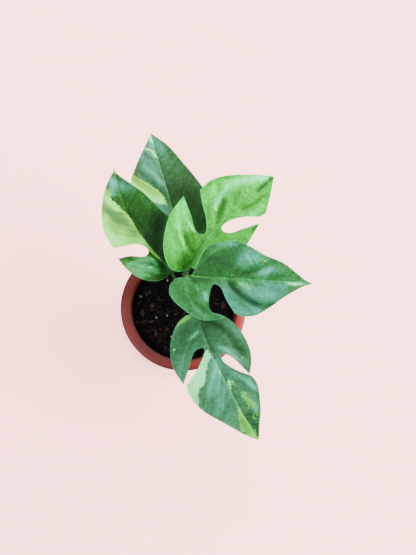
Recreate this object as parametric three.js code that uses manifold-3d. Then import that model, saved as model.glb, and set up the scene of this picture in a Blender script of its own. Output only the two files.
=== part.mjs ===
// A variegated mini monstera (Rhaphidophora tetrasperma) growing in a red-brown plastic nursery pot.
//
// Millimetres and degrees, +Z up. The origin is the centre of the pot's flat base, so the pot
// stands on z = 0. The stem comes up a little behind the middle of the pot (+Y). Five leaves grow
// from it in turn to the back and the front, each blade on its own stalk, and the front leaf hangs
// out over the rim (-Y).

import * as THREE from 'three';
import { mergeVertices } from 'three/addons/utils/BufferGeometryUtils.js';
import Module from 'manifold-3d';

const wasm = await Module();
wasm.setup();

// ---------------------------------------------------------------- driving dimensions

const GAP = 0.3; // clearance between two pieces that touch

// Pot: a tapered tub with a broad turned-over rim and a skirt that hangs from its outer edge.
const POT_HEIGHT = 105;
const RIM_RADIUS = 62.5;
const RIM_WIDTH = 9.8;
const RIM_SKIRT = 10;
const RIM_ROUND = 1.8;
const BASE_RADIUS = 42;
const POT_WALL = 2;
const FOOT_RISE = 2.5; // the drained channel under the pot stands this far above the surface
const FOOT_WIDTH = 6;
const PAD_RADIUS = 12;
const DRAIN_COUNT = 8;
const DRAIN_RADIUS = 3.5;
const POT_SIDES = 40;

// Soil: a peat and bark mix, filled to a little below the rim and heaped slightly in the middle.
const SOIL_BELOW_RIM = 12;
const SOIL_HEAP = 2;

// Stem: short and stout, leaning slightly, rooted in the soil.
const STEM_X = 1.5;
const STEM_Y = 17;
const STEM_LEAN_X = 0.5;
const STEM_LEAN_Y = 3;
const STEM_RISE = 37; // above the soil level
const STEM_BURIED = 18;
const STEM_RADIUS = 3.4;
const STEM_NODE_SWELL = 0.5;

// Leaf stalks and blades.
const STALK_FOOT_RADIUS = 2.1;
const STALK_TIP_RADIUS = 1.5;
const BLADE_THICKNESS = 1;
const CREASE_SOFTNESS = 4; // half-width over which the blade bends along its midrib

// Each leaf, from the lowest on the stem to the highest.
//   node     height above the soil where its stalk leaves the stem
//   bearing  direction from the stem to the blade's base, with reach and rise to that point
//   heading  direction in which the blade points, with pitch (tip up) and roll
//   length   base to tip; droop, fold and cup shape the blade; bow is the midrib's sideways curve
//   right, left  the outline's two sides from base to tip, in hundredths of the length: smooth
//                runs that meet at sharp corners, where the slots between the lobes open
const LEAVES = [
  {
    name: 'back', node: 10, bearing: 93.2, reach: 29, rise: 38,
    heading: 108, pitch: 14, roll: 0, length: 119, droop: 14, fold: 0.25, cup: 2, bow: 1.5,
    color: '#3f7a45',
    right: [
      [[-6, -4], [-8, -13], [-2, -23], [12, -30], [30, -31], [48, -26], [69, -17.6], [86, -10], [100, 0]],
    ],
    left: [
      [[-6, 4], [-8, 13], [-1, 23], [14, 30], [34, 32.5], [55, 31], [65, 28], [80, 17], [91, 7.5], [100, 0]],
    ],
  },
  {
    name: 'front', node: 16, bearing: -77.6, reach: 38.8, rise: 48,
    heading: -60.7, pitch: -12, roll: 0, length: 129, droop: 12, fold: 0.12, cup: 3, bow: -4,
    color: '#4b8a55',
    right: [
      [[-5, -3.5], [-6.2, -8.5], [-3, -17], [5, -25], [15, -30], [25, -31.8], [35.6, -30.6]],
      [[28, -23], [19.5, -14.5], [18.6, -8.5], [20.6, -6.2], [24, -8.6], [31.5, -18], [37, -29.4]],
      [[47, -30.2], [60, -26.6], [76, -16.8], [93, -6.2], [100, 0]],
    ],
    left: [
      [[-1, 6], [3, 13.5], [12, 20], [25, 23.3], [37, 23], [46, 19.4], [52.8, 14.4]],
      [[42, 11.3], [34.5, 8.2], [30.5, 4.6], [30.6, 2], [36.5, 2.4], [46, 8.2], [54.3, 15.6]],
      [[63, 16.4], [78.3, 11.6], [91, 4.6], [100, 0]],
    ],
  },
  {
    name: 'left', node: 22, bearing: 160.5, reach: 19.2, rise: 46,
    heading: 119.9, pitch: 10, roll: 0, length: 107, droop: 10, fold: 0.3, cup: 2, bow: 10,
    color: '#5c9a52',
    right: [
      [[-3, -4], [-4, -10], [0, -17], [9, -22], [21, -24], [32, -22.5], [48.6, -16], [69, -10.3]],
      [[85, -2.8], [94, 0.8], [100, 0]],
    ],
    left: [
      [[-3.6, 4], [-4.6, 10], [-2.5, 18], [5, 27], [16, 33], [28, 35.5]],
      [[25.4, 25], [20, 16], [20.6, 10.6], [25, 9.4], [31.8, 15], [35, 26], [37.4, 34.6]],
      [[50, 35.2], [62.6, 31.8], [78.5, 22.4], [90, 11.8], [96, 3.6], [100, 0]],
    ],
  },
  {
    name: 'right', node: 28, bearing: -104.5, reach: 9.6, rise: 82,
    heading: -1.7, pitch: 2, roll: 0, length: 106, droop: 8, fold: 0.16, cup: 2, bow: 0,
    color: '#43845c',
    right: [
      [[-5, -1.2], [-12, -2.6], [-16.8, -9], [-15.5, -18], [-6, -27], [6, -34], [16, -35], [27.4, -32]],
      [[19, -29.8], [14.6, -25], [14.4, -16], [16.2, -7.6], [19, -5.7], [24, -9], [28.5, -19], [35, -29]],
      [[42, -31], [52, -29.4], [64, -21.7], [78, -11.2], [91, -3.4], [100, 0]],
    ],
    left: [
      [[3.8, 8.5], [8, 19], [12.3, 25.5]],
      [[23, 28.4], [36, 30], [47, 26.6], [60, 19.8], [73.6, 15], [85, 7.8], [93, 2.2], [100, 0]],
    ],
  },
  {
    name: 'lime', node: 37, bearing: 132.4, reach: 3.1, rise: 51,
    heading: 48.2, pitch: 8, roll: 4, length: 114, droop: 8, fold: 0.12, cup: 2, bow: 7,
    color: '#86c25c',
    right: [
      [[3, -5], [9, -12], [19, -18.4], [32, -21.4], [46, -20], [63, -16.7]],
      [[50, -9.6], [41.6, -5], [38.6, 0], [41, 3.4], [50, 1], [60, -6.2], [66, -12.6], [72, -15]],
      [[82, -10], [91, -5], [100, 0]],
    ],
    left: [
      [[-4, 1.2], [-9.4, 6], [-10, 14], [-3, 25], [9, 34], [22, 39.6], [37.7, 41.2]],
      [[31, 28], [24.4, 17], [24.6, 11.4], [29, 9.6], [36.8, 16.7], [43, 26], [50, 35]],
      [[61, 34.4], [73, 28], [88, 13.8], [100, 0]],
    ],
  },
];

// Loose pieces on the soil: [share of the soil's radius, bearing, length, width, height, turn].
const BARK_CHIPS = [
  [0.83, 158, 8, 4.6, 2.6, 30],
  [0.67, 176, 6.4, 4, 2.4, 75],
  [0.86, 187, 7.4, 4, 2.2, 100],
  [0.72, 203, 5.6, 3.4, 2, 12],
  [0.5, 192, 5, 3.2, 2.2, 140],
  [0.8, 223, 9, 3.4, 2.2, 80],
  [0.55, 232, 5.2, 3.6, 2.2, 45],
  [0.78, 262, 7, 4, 2.2, 165],
  [0.42, 280, 5.4, 3.8, 2.4, 110],
  [0.5, 342, 9, 8, 3.6, 20],
  [0.68, 322, 7, 3.4, 2.2, 60],
  [0.84, 335, 6, 3.6, 2, 130],
  [0.85, 5, 7.5, 4.4, 2.4, 95],
  [0.8, 68, 8, 4.4, 2.6, 40],
];
const PERLITE_GRAINS = [
  [0.9, 165, 2.6, 2.3, 2.1, 0],
  [0.58, 200, 2.4, 2, 1.9, 50],
  [0.62, 247, 2.2, 2, 1.8, 20],
  [0.36, 205, 2, 1.8, 1.7, 80],
  [0.74, 348, 2.2, 2, 1.8, 35],
  [0.66, 120, 2.5, 2.2, 2, 65],
];

// ---------------------------------------------------------------- solids

// A closed solid from a three.js geometry: shared corners merged, collapsed triangles dropped.
function solidFrom(geometry) {
  geometry.deleteAttribute('normal');
  geometry.deleteAttribute('uv');
  const merged = mergeVertices(geometry, 1e-4);
  const corners = merged.index.array;
  const kept = [];
  for (let i = 0; i < corners.length; i += 3) {
    const [a, b, c] = corners.slice(i, i + 3);
    if (a !== b && b !== c && c !== a) kept.push(a, b, c);
  }
  const vertProperties = Float32Array.from(merged.attributes.position.array);
  return new wasm.Manifold(new wasm.Mesh({ numProp: 3, vertProperties, triVerts: Uint32Array.from(kept) }));
}

function geometryFrom(solid) {
  const mesh = solid.getMesh();
  const geometry = new THREE.BufferGeometry();
  geometry.setAttribute('position', new THREE.BufferAttribute(mesh.vertProperties, 3));
  geometry.setIndex(new THREE.BufferAttribute(mesh.triVerts, 1));
  geometry.computeVertexNormals();
  return geometry;
}

function namedMesh(name, geometry, color, roughness) {
  const material = new THREE.MeshStandardMaterial({ color, roughness, metalness: 0 });
  const mesh = new THREE.Mesh(geometry, material);
  mesh.name = name;
  return mesh;
}

// A profile of [radius, height] points turned about the Z axis.
function turned(profile, sides) {
  const points = profile.map(([radius, height]) => new THREE.Vector2(radius, height));
  return new THREE.LatheGeometry(points, sides).rotateX(Math.PI / 2);
}

// A round rod of changing radius along a curve, swollen by extra and lengthened by extra at each end.
function rod(curve, radiusAt, sides, steps, extra = 0) {
  const geometry = new THREE.CylinderGeometry(1, 1, 1, sides, steps);
  const frames = curve.computeFrenetFrames(steps, false);
  const position = geometry.attributes.position;
  for (let i = 0; i < position.count; i += 1) {
    const share = position.getY(i) + 0.5;
    const step = Math.round(share * steps);
    const radius = radiusAt(share) + extra;
    const along = (step === steps ? extra : 0) - (step === 0 ? extra : 0);
    const point = curve.getPointAt(share)
      .addScaledVector(frames.tangents[step], along)
      .addScaledVector(frames.normals[step], position.getX(i) * radius)
      .addScaledVector(frames.binormals[step], -position.getZ(i) * radius);
    position.setXYZ(i, point.x, point.y, point.z);
  }
  return solidFrom(geometry);
}

const bearingVector = (degrees) => {
  const angle = THREE.MathUtils.degToRad(degrees);
  return new THREE.Vector3(Math.cos(angle), Math.sin(angle), 0);
};

// ---------------------------------------------------------------- pot

const mouthRadius = RIM_RADIUS - RIM_WIDTH;
const channelTop = FOOT_RISE + POT_WALL;
const wallTaper = (mouthRadius + POT_WALL - BASE_RADIUS) / POT_HEIGHT;
const wallInside = (height) => BASE_RADIUS + wallTaper * height - POT_WALL;

function potGeometry() {
  const skirtFoot = POT_HEIGHT - RIM_SKIRT;
  const rimUnderside = POT_HEIGHT - POT_WALL;
  const halfRound = RIM_ROUND * (1 - Math.SQRT1_2);
  const profile = [
    [0, 0],
    [PAD_RADIUS, 0],
    [PAD_RADIUS + FOOT_RISE / 2, FOOT_RISE],
    [BASE_RADIUS - FOOT_WIDTH - FOOT_RISE / 2, FOOT_RISE],
    [BASE_RADIUS - FOOT_WIDTH, 0],
    [BASE_RADIUS, 0],
    [wallInside(rimUnderside) + POT_WALL, rimUnderside],
    [RIM_RADIUS - POT_WALL, rimUnderside],
    [RIM_RADIUS - POT_WALL, skirtFoot],
    [RIM_RADIUS, skirtFoot],
    [RIM_RADIUS, POT_HEIGHT - RIM_ROUND],
    [RIM_RADIUS - halfRound, POT_HEIGHT - halfRound],
    [RIM_RADIUS - RIM_ROUND, POT_HEIGHT],
    [mouthRadius + RIM_ROUND, POT_HEIGHT],
    [mouthRadius + halfRound, POT_HEIGHT - halfRound],
    [wallInside(POT_HEIGHT - RIM_ROUND), POT_HEIGHT - RIM_ROUND],
    [wallInside(channelTop), channelTop],
    [0, channelTop],
  ];
  let solid = solidFrom(turned(profile, POT_SIDES));
  const drainRing = (PAD_RADIUS + BASE_RADIUS - FOOT_WIDTH) / 2;
  for (let i = 0; i < DRAIN_COUNT; i += 1) {
    const centre = bearingVector((i * 360) / DRAIN_COUNT).multiplyScalar(drainRing);
    const drain = new THREE.CylinderGeometry(DRAIN_RADIUS, DRAIN_RADIUS, 4 * channelTop, 12);
    drain.rotateX(Math.PI / 2).translate(centre.x, centre.y, 0);
    solid = solid.subtract(solidFrom(drain));
  }
  return geometryFrom(solid);
}

// ---------------------------------------------------------------- stem

const soilLevel = POT_HEIGHT - SOIL_BELOW_RIM;

// The stem's axis at a height above the soil level.
const stemAxis = (height) => new THREE.Vector3(
  STEM_X + (STEM_LEAN_X * height) / STEM_RISE,
  STEM_Y + (STEM_LEAN_Y * height) / STEM_RISE,
  soilLevel + height,
);
const stemCurve = new THREE.LineCurve3(stemAxis(-STEM_BURIED), stemAxis(STEM_RISE));
const STEM_STEPS = 22;

// It thins towards the top and swells into a ring wherever a leaf grows.
function stemRadius(share) {
  const height = share * (STEM_RISE + STEM_BURIED) - STEM_BURIED;
  let swell = 0;
  for (const leaf of LEAVES) {
    swell = Math.max(swell, STEM_NODE_SWELL * Math.exp(-(((height - leaf.node) / 2) ** 2)));
  }
  return STEM_RADIUS * (1 - 0.2 * share) + swell;
}
const stemSolid = rod(stemCurve, stemRadius, 12, STEM_STEPS);
const stemRoom = rod(stemCurve, stemRadius, 12, STEM_STEPS, GAP);

// ---------------------------------------------------------------- soil

const soilRadius = wallInside(soilLevel) - GAP;
const soilHeight = (radius) => soilLevel + SOIL_HEAP * (1 - (radius / soilRadius) ** 2);

function soilGeometry() {
  const foot = channelTop + GAP;
  const profile = [[0, foot], [wallInside(foot) - GAP, foot]];
  const rings = 5;
  for (let i = rings; i >= 0; i -= 1) {
    const radius = (soilRadius * i) / rings;
    profile.push([radius, soilHeight(radius)]);
  }
  return geometryFrom(solidFrom(turned(profile, POT_SIDES)).subtract(stemRoom));
}

// ---------------------------------------------------------------- leaves

// Where a blade's base is, and how the blade is turned.
function bladePlace(leaf) {
  const place = new THREE.Object3D();
  const out = bearingVector(leaf.bearing).multiplyScalar(leaf.reach);
  place.position.copy(stemAxis(leaf.node)).add(out);
  place.position.z += leaf.rise;
  const [roll, pitch, heading] = [leaf.roll, -leaf.pitch, leaf.heading].map(THREE.MathUtils.degToRad);
  place.rotation.set(roll, pitch, heading, 'ZYX');
  place.updateMatrixWorld(true);
  return place;
}

// The stalk leaves the stem sideways and upwards, climbs, and turns over into the blade's base.
function stalkCurve(leaf) {
  const start = stemAxis(leaf.node - 1);
  const end = bladePlace(leaf).position;
  const span = start.distanceTo(end);
  const leaving = bearingVector(leaf.bearing).multiplyScalar(0.8).add(new THREE.Vector3(0, 0, 0.6));
  const arriving = bearingVector(leaf.heading).multiplyScalar(0.35).add(new THREE.Vector3(0, 0, 0.94));
  return new THREE.CubicBezierCurve3(
    start,
    start.clone().addScaledVector(leaving, span * 0.3),
    end.clone().addScaledVector(arriving, -span * 0.4),
    end,
  );
}

const stalkRadius = (share) => THREE.MathUtils.lerp(STALK_FOOT_RADIUS, STALK_TIP_RADIUS, Math.sqrt(share));
const STALK_SIDES = 10;
const STALK_STEPS = 14;

function stalkGeometry(leaf) {
  const stalk = rod(stalkCurve(leaf), stalkRadius, STALK_SIDES, STALK_STEPS);
  return geometryFrom(stalk.subtract(stemRoom));
}

// The outline in the blade's own plane: base at the origin, tip on +X, left side at +Y.
function bladeOutline(leaf) {
  const scale = leaf.length / 100;
  const runsOf = (side) => {
    let corner = new THREE.Vector2(0, 0);
    return side.map((run) => {
      const points = [corner, ...run.map(([x, y]) => new THREE.Vector2(x * scale, y * scale))];
      corner = points.at(-1);
      return points;
    });
  };
  const shape = new THREE.Shape();
  shape.moveTo(0, 0);
  for (const run of runsOf(leaf.right)) shape.splineThru(run.slice(1));
  for (const run of runsOf(leaf.left).reverse()) shape.splineThru(run.reverse().slice(1));
  return shape;
}

const midribAt = (leaf, x) => 4 * leaf.bow * (x / leaf.length) * (1 - x / leaf.length);

// Height of the blade's middle surface, at x along it and at offset from the midrib.
function bladeHeight(leaf, x, offset) {
  const droop = leaf.droop * Math.sign(x) * (x / leaf.length) ** 2;
  const fold = leaf.fold * (Math.hypot(offset, CREASE_SOFTNESS) - CREASE_SOFTNESS);
  const cup = leaf.cup * (offset / 30) ** 2;
  return fold - droop - cup;
}

function bladeGeometry(leaf, place) {
  const half = leaf.length * 0.5;
  const sheet = new THREE.BoxGeometry(leaf.length * 1.3, 2, BLADE_THICKNESS, 10, 8, 1);
  sheet.translate(leaf.length * 0.45, 0, 0);
  const position = sheet.attributes.position;
  for (let i = 0; i < position.count; i += 1) {
    const x = position.getX(i);
    const side = position.getY(i);
    const offset = Math.sign(side) * Math.abs(side) ** 1.6 * half;
    position.setY(i, midribAt(leaf, x) + offset);
    position.setZ(i, position.getZ(i) + bladeHeight(leaf, x, offset));
  }
  const depth = leaf.length;
  const prism = new THREE.ExtrudeGeometry(bladeOutline(leaf), { depth, bevelEnabled: false, curveSegments: 2 });
  prism.translate(0, 0, -depth / 2);
  const stalkRoom = rod(stalkCurve(leaf), stalkRadius, STALK_SIDES, STALK_STEPS, GAP);
  const inward = place.matrixWorld.clone().invert().elements;
  const blade = solidFrom(sheet).intersect(solidFrom(prism));
  return geometryFrom(blade.subtract(stalkRoom.transform(Array.from(inward))));
}

// ---------------------------------------------------------------- loose pieces

// An angular crumb that rests on the soil.
function crumb([share, bearing, length, width, height, turn]) {
  const geometry = new THREE.IcosahedronGeometry(0.5, 0).scale(length, width, height);
  geometry.rotateZ(THREE.MathUtils.degToRad(turn));
  geometry.computeBoundingBox();
  const radius = share * (soilRadius - length / 2);
  const rest = soilHeight(Math.max(0, radius - length / 2)) + GAP;
  const spot = bearingVector(bearing).multiplyScalar(radius);
  return { geometry: geometryFrom(solidFrom(geometry)), x: spot.x, y: spot.y, z: rest + height / 2 };
}

// ---------------------------------------------------------------- assembly

const pottedMonstera = new THREE.Group();
pottedMonstera.add(namedMesh('pot', potGeometry(), '#9b4238', 0.5));
pottedMonstera.add(namedMesh('soil', soilGeometry(), '#1d1815', 0.95));

const plant = new THREE.Group();
pottedMonstera.add(plant);
plant.add(namedMesh('stem', geometryFrom(stemSolid), '#5d7a3a', 0.6));
for (const leaf of LEAVES) {
  plant.add(namedMesh(`petiole_${leaf.name}`, stalkGeometry(leaf), '#6f9a48', 0.5));
  const place = bladePlace(leaf);
  const blade = namedMesh(`leaf_${leaf.name}`, bladeGeometry(leaf, place), leaf.color, 0.4);
  blade.position.copy(place.position);
  blade.rotation.copy(place.rotation);
  plant.add(blade);
}

function scatter(prefix, pieces, color) {
  pieces.forEach((piece, index) => {
    const { geometry, x, y, z } = crumb(piece);
    const mesh = namedMesh(`${prefix}_${String(index + 1).padStart(2, '0')}`, geometry, color, 0.9);
    mesh.position.set(x, y, z);
    pottedMonstera.add(mesh);
  });
}
scatter('bark_chip', BARK_CHIPS, '#6b3f24');
scatter('perlite', PERLITE_GRAINS, '#e6e2d8');

export default pottedMonstera;
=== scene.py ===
import math
import random

import bmesh
import bpy
import numpy as np
from mathutils import Euler, Matrix, Vector, noise


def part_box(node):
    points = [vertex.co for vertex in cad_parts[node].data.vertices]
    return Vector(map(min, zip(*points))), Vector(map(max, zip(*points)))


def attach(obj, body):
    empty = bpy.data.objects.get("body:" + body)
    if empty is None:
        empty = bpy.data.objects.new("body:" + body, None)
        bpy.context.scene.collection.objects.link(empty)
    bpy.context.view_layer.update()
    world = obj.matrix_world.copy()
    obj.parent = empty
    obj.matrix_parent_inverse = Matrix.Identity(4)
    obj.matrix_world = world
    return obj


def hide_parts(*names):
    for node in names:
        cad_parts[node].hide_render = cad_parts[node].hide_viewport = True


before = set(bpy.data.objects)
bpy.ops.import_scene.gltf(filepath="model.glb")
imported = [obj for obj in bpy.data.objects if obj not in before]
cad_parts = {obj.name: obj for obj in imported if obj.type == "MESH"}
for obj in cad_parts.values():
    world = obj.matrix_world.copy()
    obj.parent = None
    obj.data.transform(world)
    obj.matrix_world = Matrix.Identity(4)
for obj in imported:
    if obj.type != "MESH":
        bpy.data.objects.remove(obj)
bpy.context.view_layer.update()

MM = 0.001


# ---------------------------------------------------------------- pot
# A nursery pot, injection moulded in red-brown plastic: a tapered tub whose rim is turned over
# into a broad lip with a hanging skirt. It stands on a foot ring and a centre pad, and eight
# drain holes open into the raised channel between them.

RIM_WIDTH = 9.8 * MM
RIM_SKIRT = 10 * MM
RIM_ROUND = 1.8 * MM
BASE_RADIUS = 42 * MM
POT_WALL = 2 * MM
WALL_STEP = 0.72  # share of the pot's height at which the moulded wall steps outwards
FOOT_RISE = 2.5 * MM
FOOT_WIDTH = 6 * MM
PAD_RADIUS = 12 * MM
DRAIN_COUNT = 8
DRAIN_RADIUS = 3.5 * MM
EDGE_ROUND = 0.6 * MM
POT_STEPS = 144


def linear(red, green, blue):
    """A colour given as 0 to 255 display values, in the linear form that shaders use."""
    def channel(value):
        share = value / 255
        return share / 12.92 if share <= 0.04045 else ((share + 0.055) / 1.055) ** 2.4
    return (channel(red), channel(green), channel(blue), 1.0)


class Shade:
    """One socket of a material's nodes, so that shader sums read as ordinary sums."""

    def __init__(self, tree, socket=None):
        self.tree = tree
        self.socket = socket

    def node(self, kind, settings, inputs, output=0):
        made = self.tree.nodes.new("ShaderNode" + kind)
        for name, value in settings.items():
            if name == "stops":
                ramp = made.color_ramp
                while len(ramp.elements) < len(value):
                    ramp.elements.new(0.5)
                for element, (place, colour) in zip(ramp.elements, value):
                    element.position = place
                    element.color = colour
            else:
                setattr(made, name, value)
        for name, value in inputs.items():
            if isinstance(value, Shade):
                self.tree.links.new(value.socket, made.inputs[name])
            else:
                made.inputs[name].default_value = value
        return Shade(self.tree, made.outputs[output])

    def math(self, operation, *values):
        return self.node("Math", {"operation": operation}, dict(enumerate(values)))

    def __add__(self, other):
        return self.math("ADD", self, other)

    def __radd__(self, other):
        return self.math("ADD", other, self)

    def __sub__(self, other):
        return self.math("SUBTRACT", self, other)

    def __rsub__(self, other):
        return self.math("SUBTRACT", other, self)

    def __mul__(self, other):
        return self.math("MULTIPLY", self, other)

    def __rmul__(self, other):
        return self.math("MULTIPLY", other, self)

    def __truediv__(self, other):
        return self.math("DIVIDE", self, other)

    def __abs__(self):
        return self.math("ABSOLUTE", self)

    def rise(self, low, high):
        """0 below low, 1 above high, and smooth between; falling where high is the smaller."""
        settings = {"interpolation_type": "SMOOTHSTEP", "clamp": True}
        if low < high:
            return self.node("MapRange", settings, {0: self, 1: low, 2: high, 3: 0.0, 4: 1.0})
        return self.node("MapRange", settings, {0: self, 1: high, 2: low, 3: 1.0, 4: 0.0})

    def mix(self, mask, under, over, blend="MIX"):
        settings = {"data_type": "RGBA", "blend_type": blend, "clamp_factor": True}
        return self.node("Mix", settings, {0: mask, 6: under, 7: over}, 2)

    def grain(self, place, scale, detail=3.0, rough=0.55):
        """Cloudy noise from 0 to 1 over a place given as a vector."""
        inputs = {"Vector": place, "Scale": scale, "Detail": detail, "Roughness": rough}
        return self.node("TexNoise", {"noise_dimensions": "3D"}, inputs)

    def bump(self, height, distance, strength=1.0):
        return self.node("Bump", {}, {"Height": height, "Distance": distance, "Strength": strength})


def new_material(name):
    """An empty material, the root of its nodes, and its Principled surface."""
    material = bpy.data.materials.new(name)
    material.use_nodes = True
    tree = material.node_tree
    surface = tree.nodes["Principled BSDF"]
    return material, Shade(tree), surface


def set_surface(root, surface, values):
    for name, value in values.items():
        if isinstance(value, Shade):
            root.tree.links.new(value.socket, surface.inputs[name])
        else:
            surface.inputs[name].default_value = value


def object_place(root):
    return root.node("TexCoord", {}, {}, "Object")


def split(root, place):
    parts = root.tree.nodes.new("ShaderNodeSeparateXYZ")
    root.tree.links.new(place.socket, parts.inputs[0])
    return [Shade(root.tree, socket) for socket in parts.outputs]


def as_object(name, bm, material, smooth=True):
    """A finished mesh object at the origin from a bmesh in its final place."""
    mesh = bpy.data.meshes.new(name)
    for face in bm.faces:
        face.smooth = smooth
    bm.to_mesh(mesh)
    bm.free()
    mesh.materials.append(material)
    piece = bpy.data.objects.new(name, mesh)
    bpy.context.scene.collection.objects.link(piece)
    return piece


def with_modifiers(piece):
    """Bakes a piece's modifiers into its mesh."""
    evaluated = piece.evaluated_get(bpy.context.evaluated_depsgraph_get())
    baked = bpy.data.meshes.new_from_object(evaluated)
    piece.modifiers.clear()
    piece.data = baked
    return piece


def turned(profile, steps):
    """A bmesh of a profile of (radius, height) points turned about the Z axis and closed."""
    bm = bmesh.new()
    verts = [bm.verts.new((radius, 0, height)) for radius, height in profile]
    edges = [bm.edges.new(pair) for pair in zip(verts, verts[1:])]
    bmesh.ops.spin(bm, geom=verts + edges, axis=(0, 0, 1), cent=(0, 0, 0), steps=steps,
                   angle=math.tau, use_merge=True)
    bmesh.ops.remove_doubles(bm, verts=bm.verts, dist=1e-6)
    bmesh.ops.recalc_face_normals(bm, faces=bm.faces)
    return bm


def rounded(corners, steps=5):
    """A profile whose corners, given as (radius, height, rounding), are drawn as short arcs."""
    points = []
    for index, (radius, height, rounding) in enumerate(corners):
        here = Vector((radius, height))
        if rounding == 0:
            points.append(here)
            continue
        before = Vector(corners[index - 1][:2])
        after = Vector(corners[index + 1][:2])
        start = here + (before - here).normalized() * rounding
        end = here + (after - here).normalized() * rounding
        for step in range(steps + 1):
            share = step / steps
            points.append(start.lerp(here, share).lerp(here.lerp(end, share), share))
    return points


pot_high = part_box("pot")[1]
rim_radius = pot_high.x
pot_height = pot_high.z
mouth_radius = rim_radius - RIM_WIDTH
channel_top = FOOT_RISE + POT_WALL
wall_taper = (mouth_radius + POT_WALL - BASE_RADIUS) / pot_height


def wall_inside(height):
    return BASE_RADIUS + wall_taper * height - POT_WALL


def make_pot():
    under_rim = pot_height - POT_WALL
    skirt_foot = pot_height - RIM_SKIRT
    step_foot = WALL_STEP * pot_height
    step_top = (WALL_STEP + 0.01) * pot_height
    corners = [
        (0, 0, 0),
        (PAD_RADIUS, 0, EDGE_ROUND),
        (PAD_RADIUS + FOOT_RISE / 2, FOOT_RISE, EDGE_ROUND),
        (BASE_RADIUS - FOOT_WIDTH - FOOT_RISE / 2, FOOT_RISE, EDGE_ROUND),
        (BASE_RADIUS - FOOT_WIDTH, 0, EDGE_ROUND),
        (BASE_RADIUS, 0, 2.5 * EDGE_ROUND),
        (wall_inside(step_foot) + POT_WALL, step_foot, EDGE_ROUND),
        (wall_inside(step_foot) + 1.4 * POT_WALL, step_top, EDGE_ROUND),
        (wall_inside(under_rim) + 1.2 * POT_WALL, under_rim, 2 * EDGE_ROUND),
        (rim_radius - 0.9 * POT_WALL, under_rim, EDGE_ROUND),
        (rim_radius - 0.8 * POT_WALL, skirt_foot, EDGE_ROUND),
        (rim_radius - 0.3 * MM, skirt_foot, EDGE_ROUND),
        (rim_radius, pot_height - 2.8 * RIM_ROUND, EDGE_ROUND),
        (rim_radius - 0.2 * MM, pot_height - 0.3 * RIM_ROUND, 1.8 * RIM_ROUND),
        (rim_radius - 0.6 * RIM_WIDTH, pot_height, RIM_ROUND),
        (mouth_radius + 0.2 * MM, pot_height - 0.3 * RIM_ROUND, RIM_ROUND),
        (wall_inside(0.9 * pot_height), 0.9 * pot_height, EDGE_ROUND),
        (wall_inside(channel_top), channel_top, 3 * EDGE_ROUND),
        (0, channel_top, 0),
    ]
    return turned(rounded(corners), POT_STEPS)


def drain_cutters():
    bm = bmesh.new()
    ring = (PAD_RADIUS + BASE_RADIUS - FOOT_WIDTH) / 2
    for index in range(DRAIN_COUNT):
        angle = math.tau * index / DRAIN_COUNT
        spot = Matrix.Translation((ring * math.cos(angle), ring * math.sin(angle), 0))
        bmesh.ops.create_cone(bm, cap_ends=True, segments=32, radius1=DRAIN_RADIUS,
                              radius2=DRAIN_RADIUS, depth=4 * channel_top, matrix=spot)
    return bm


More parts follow.
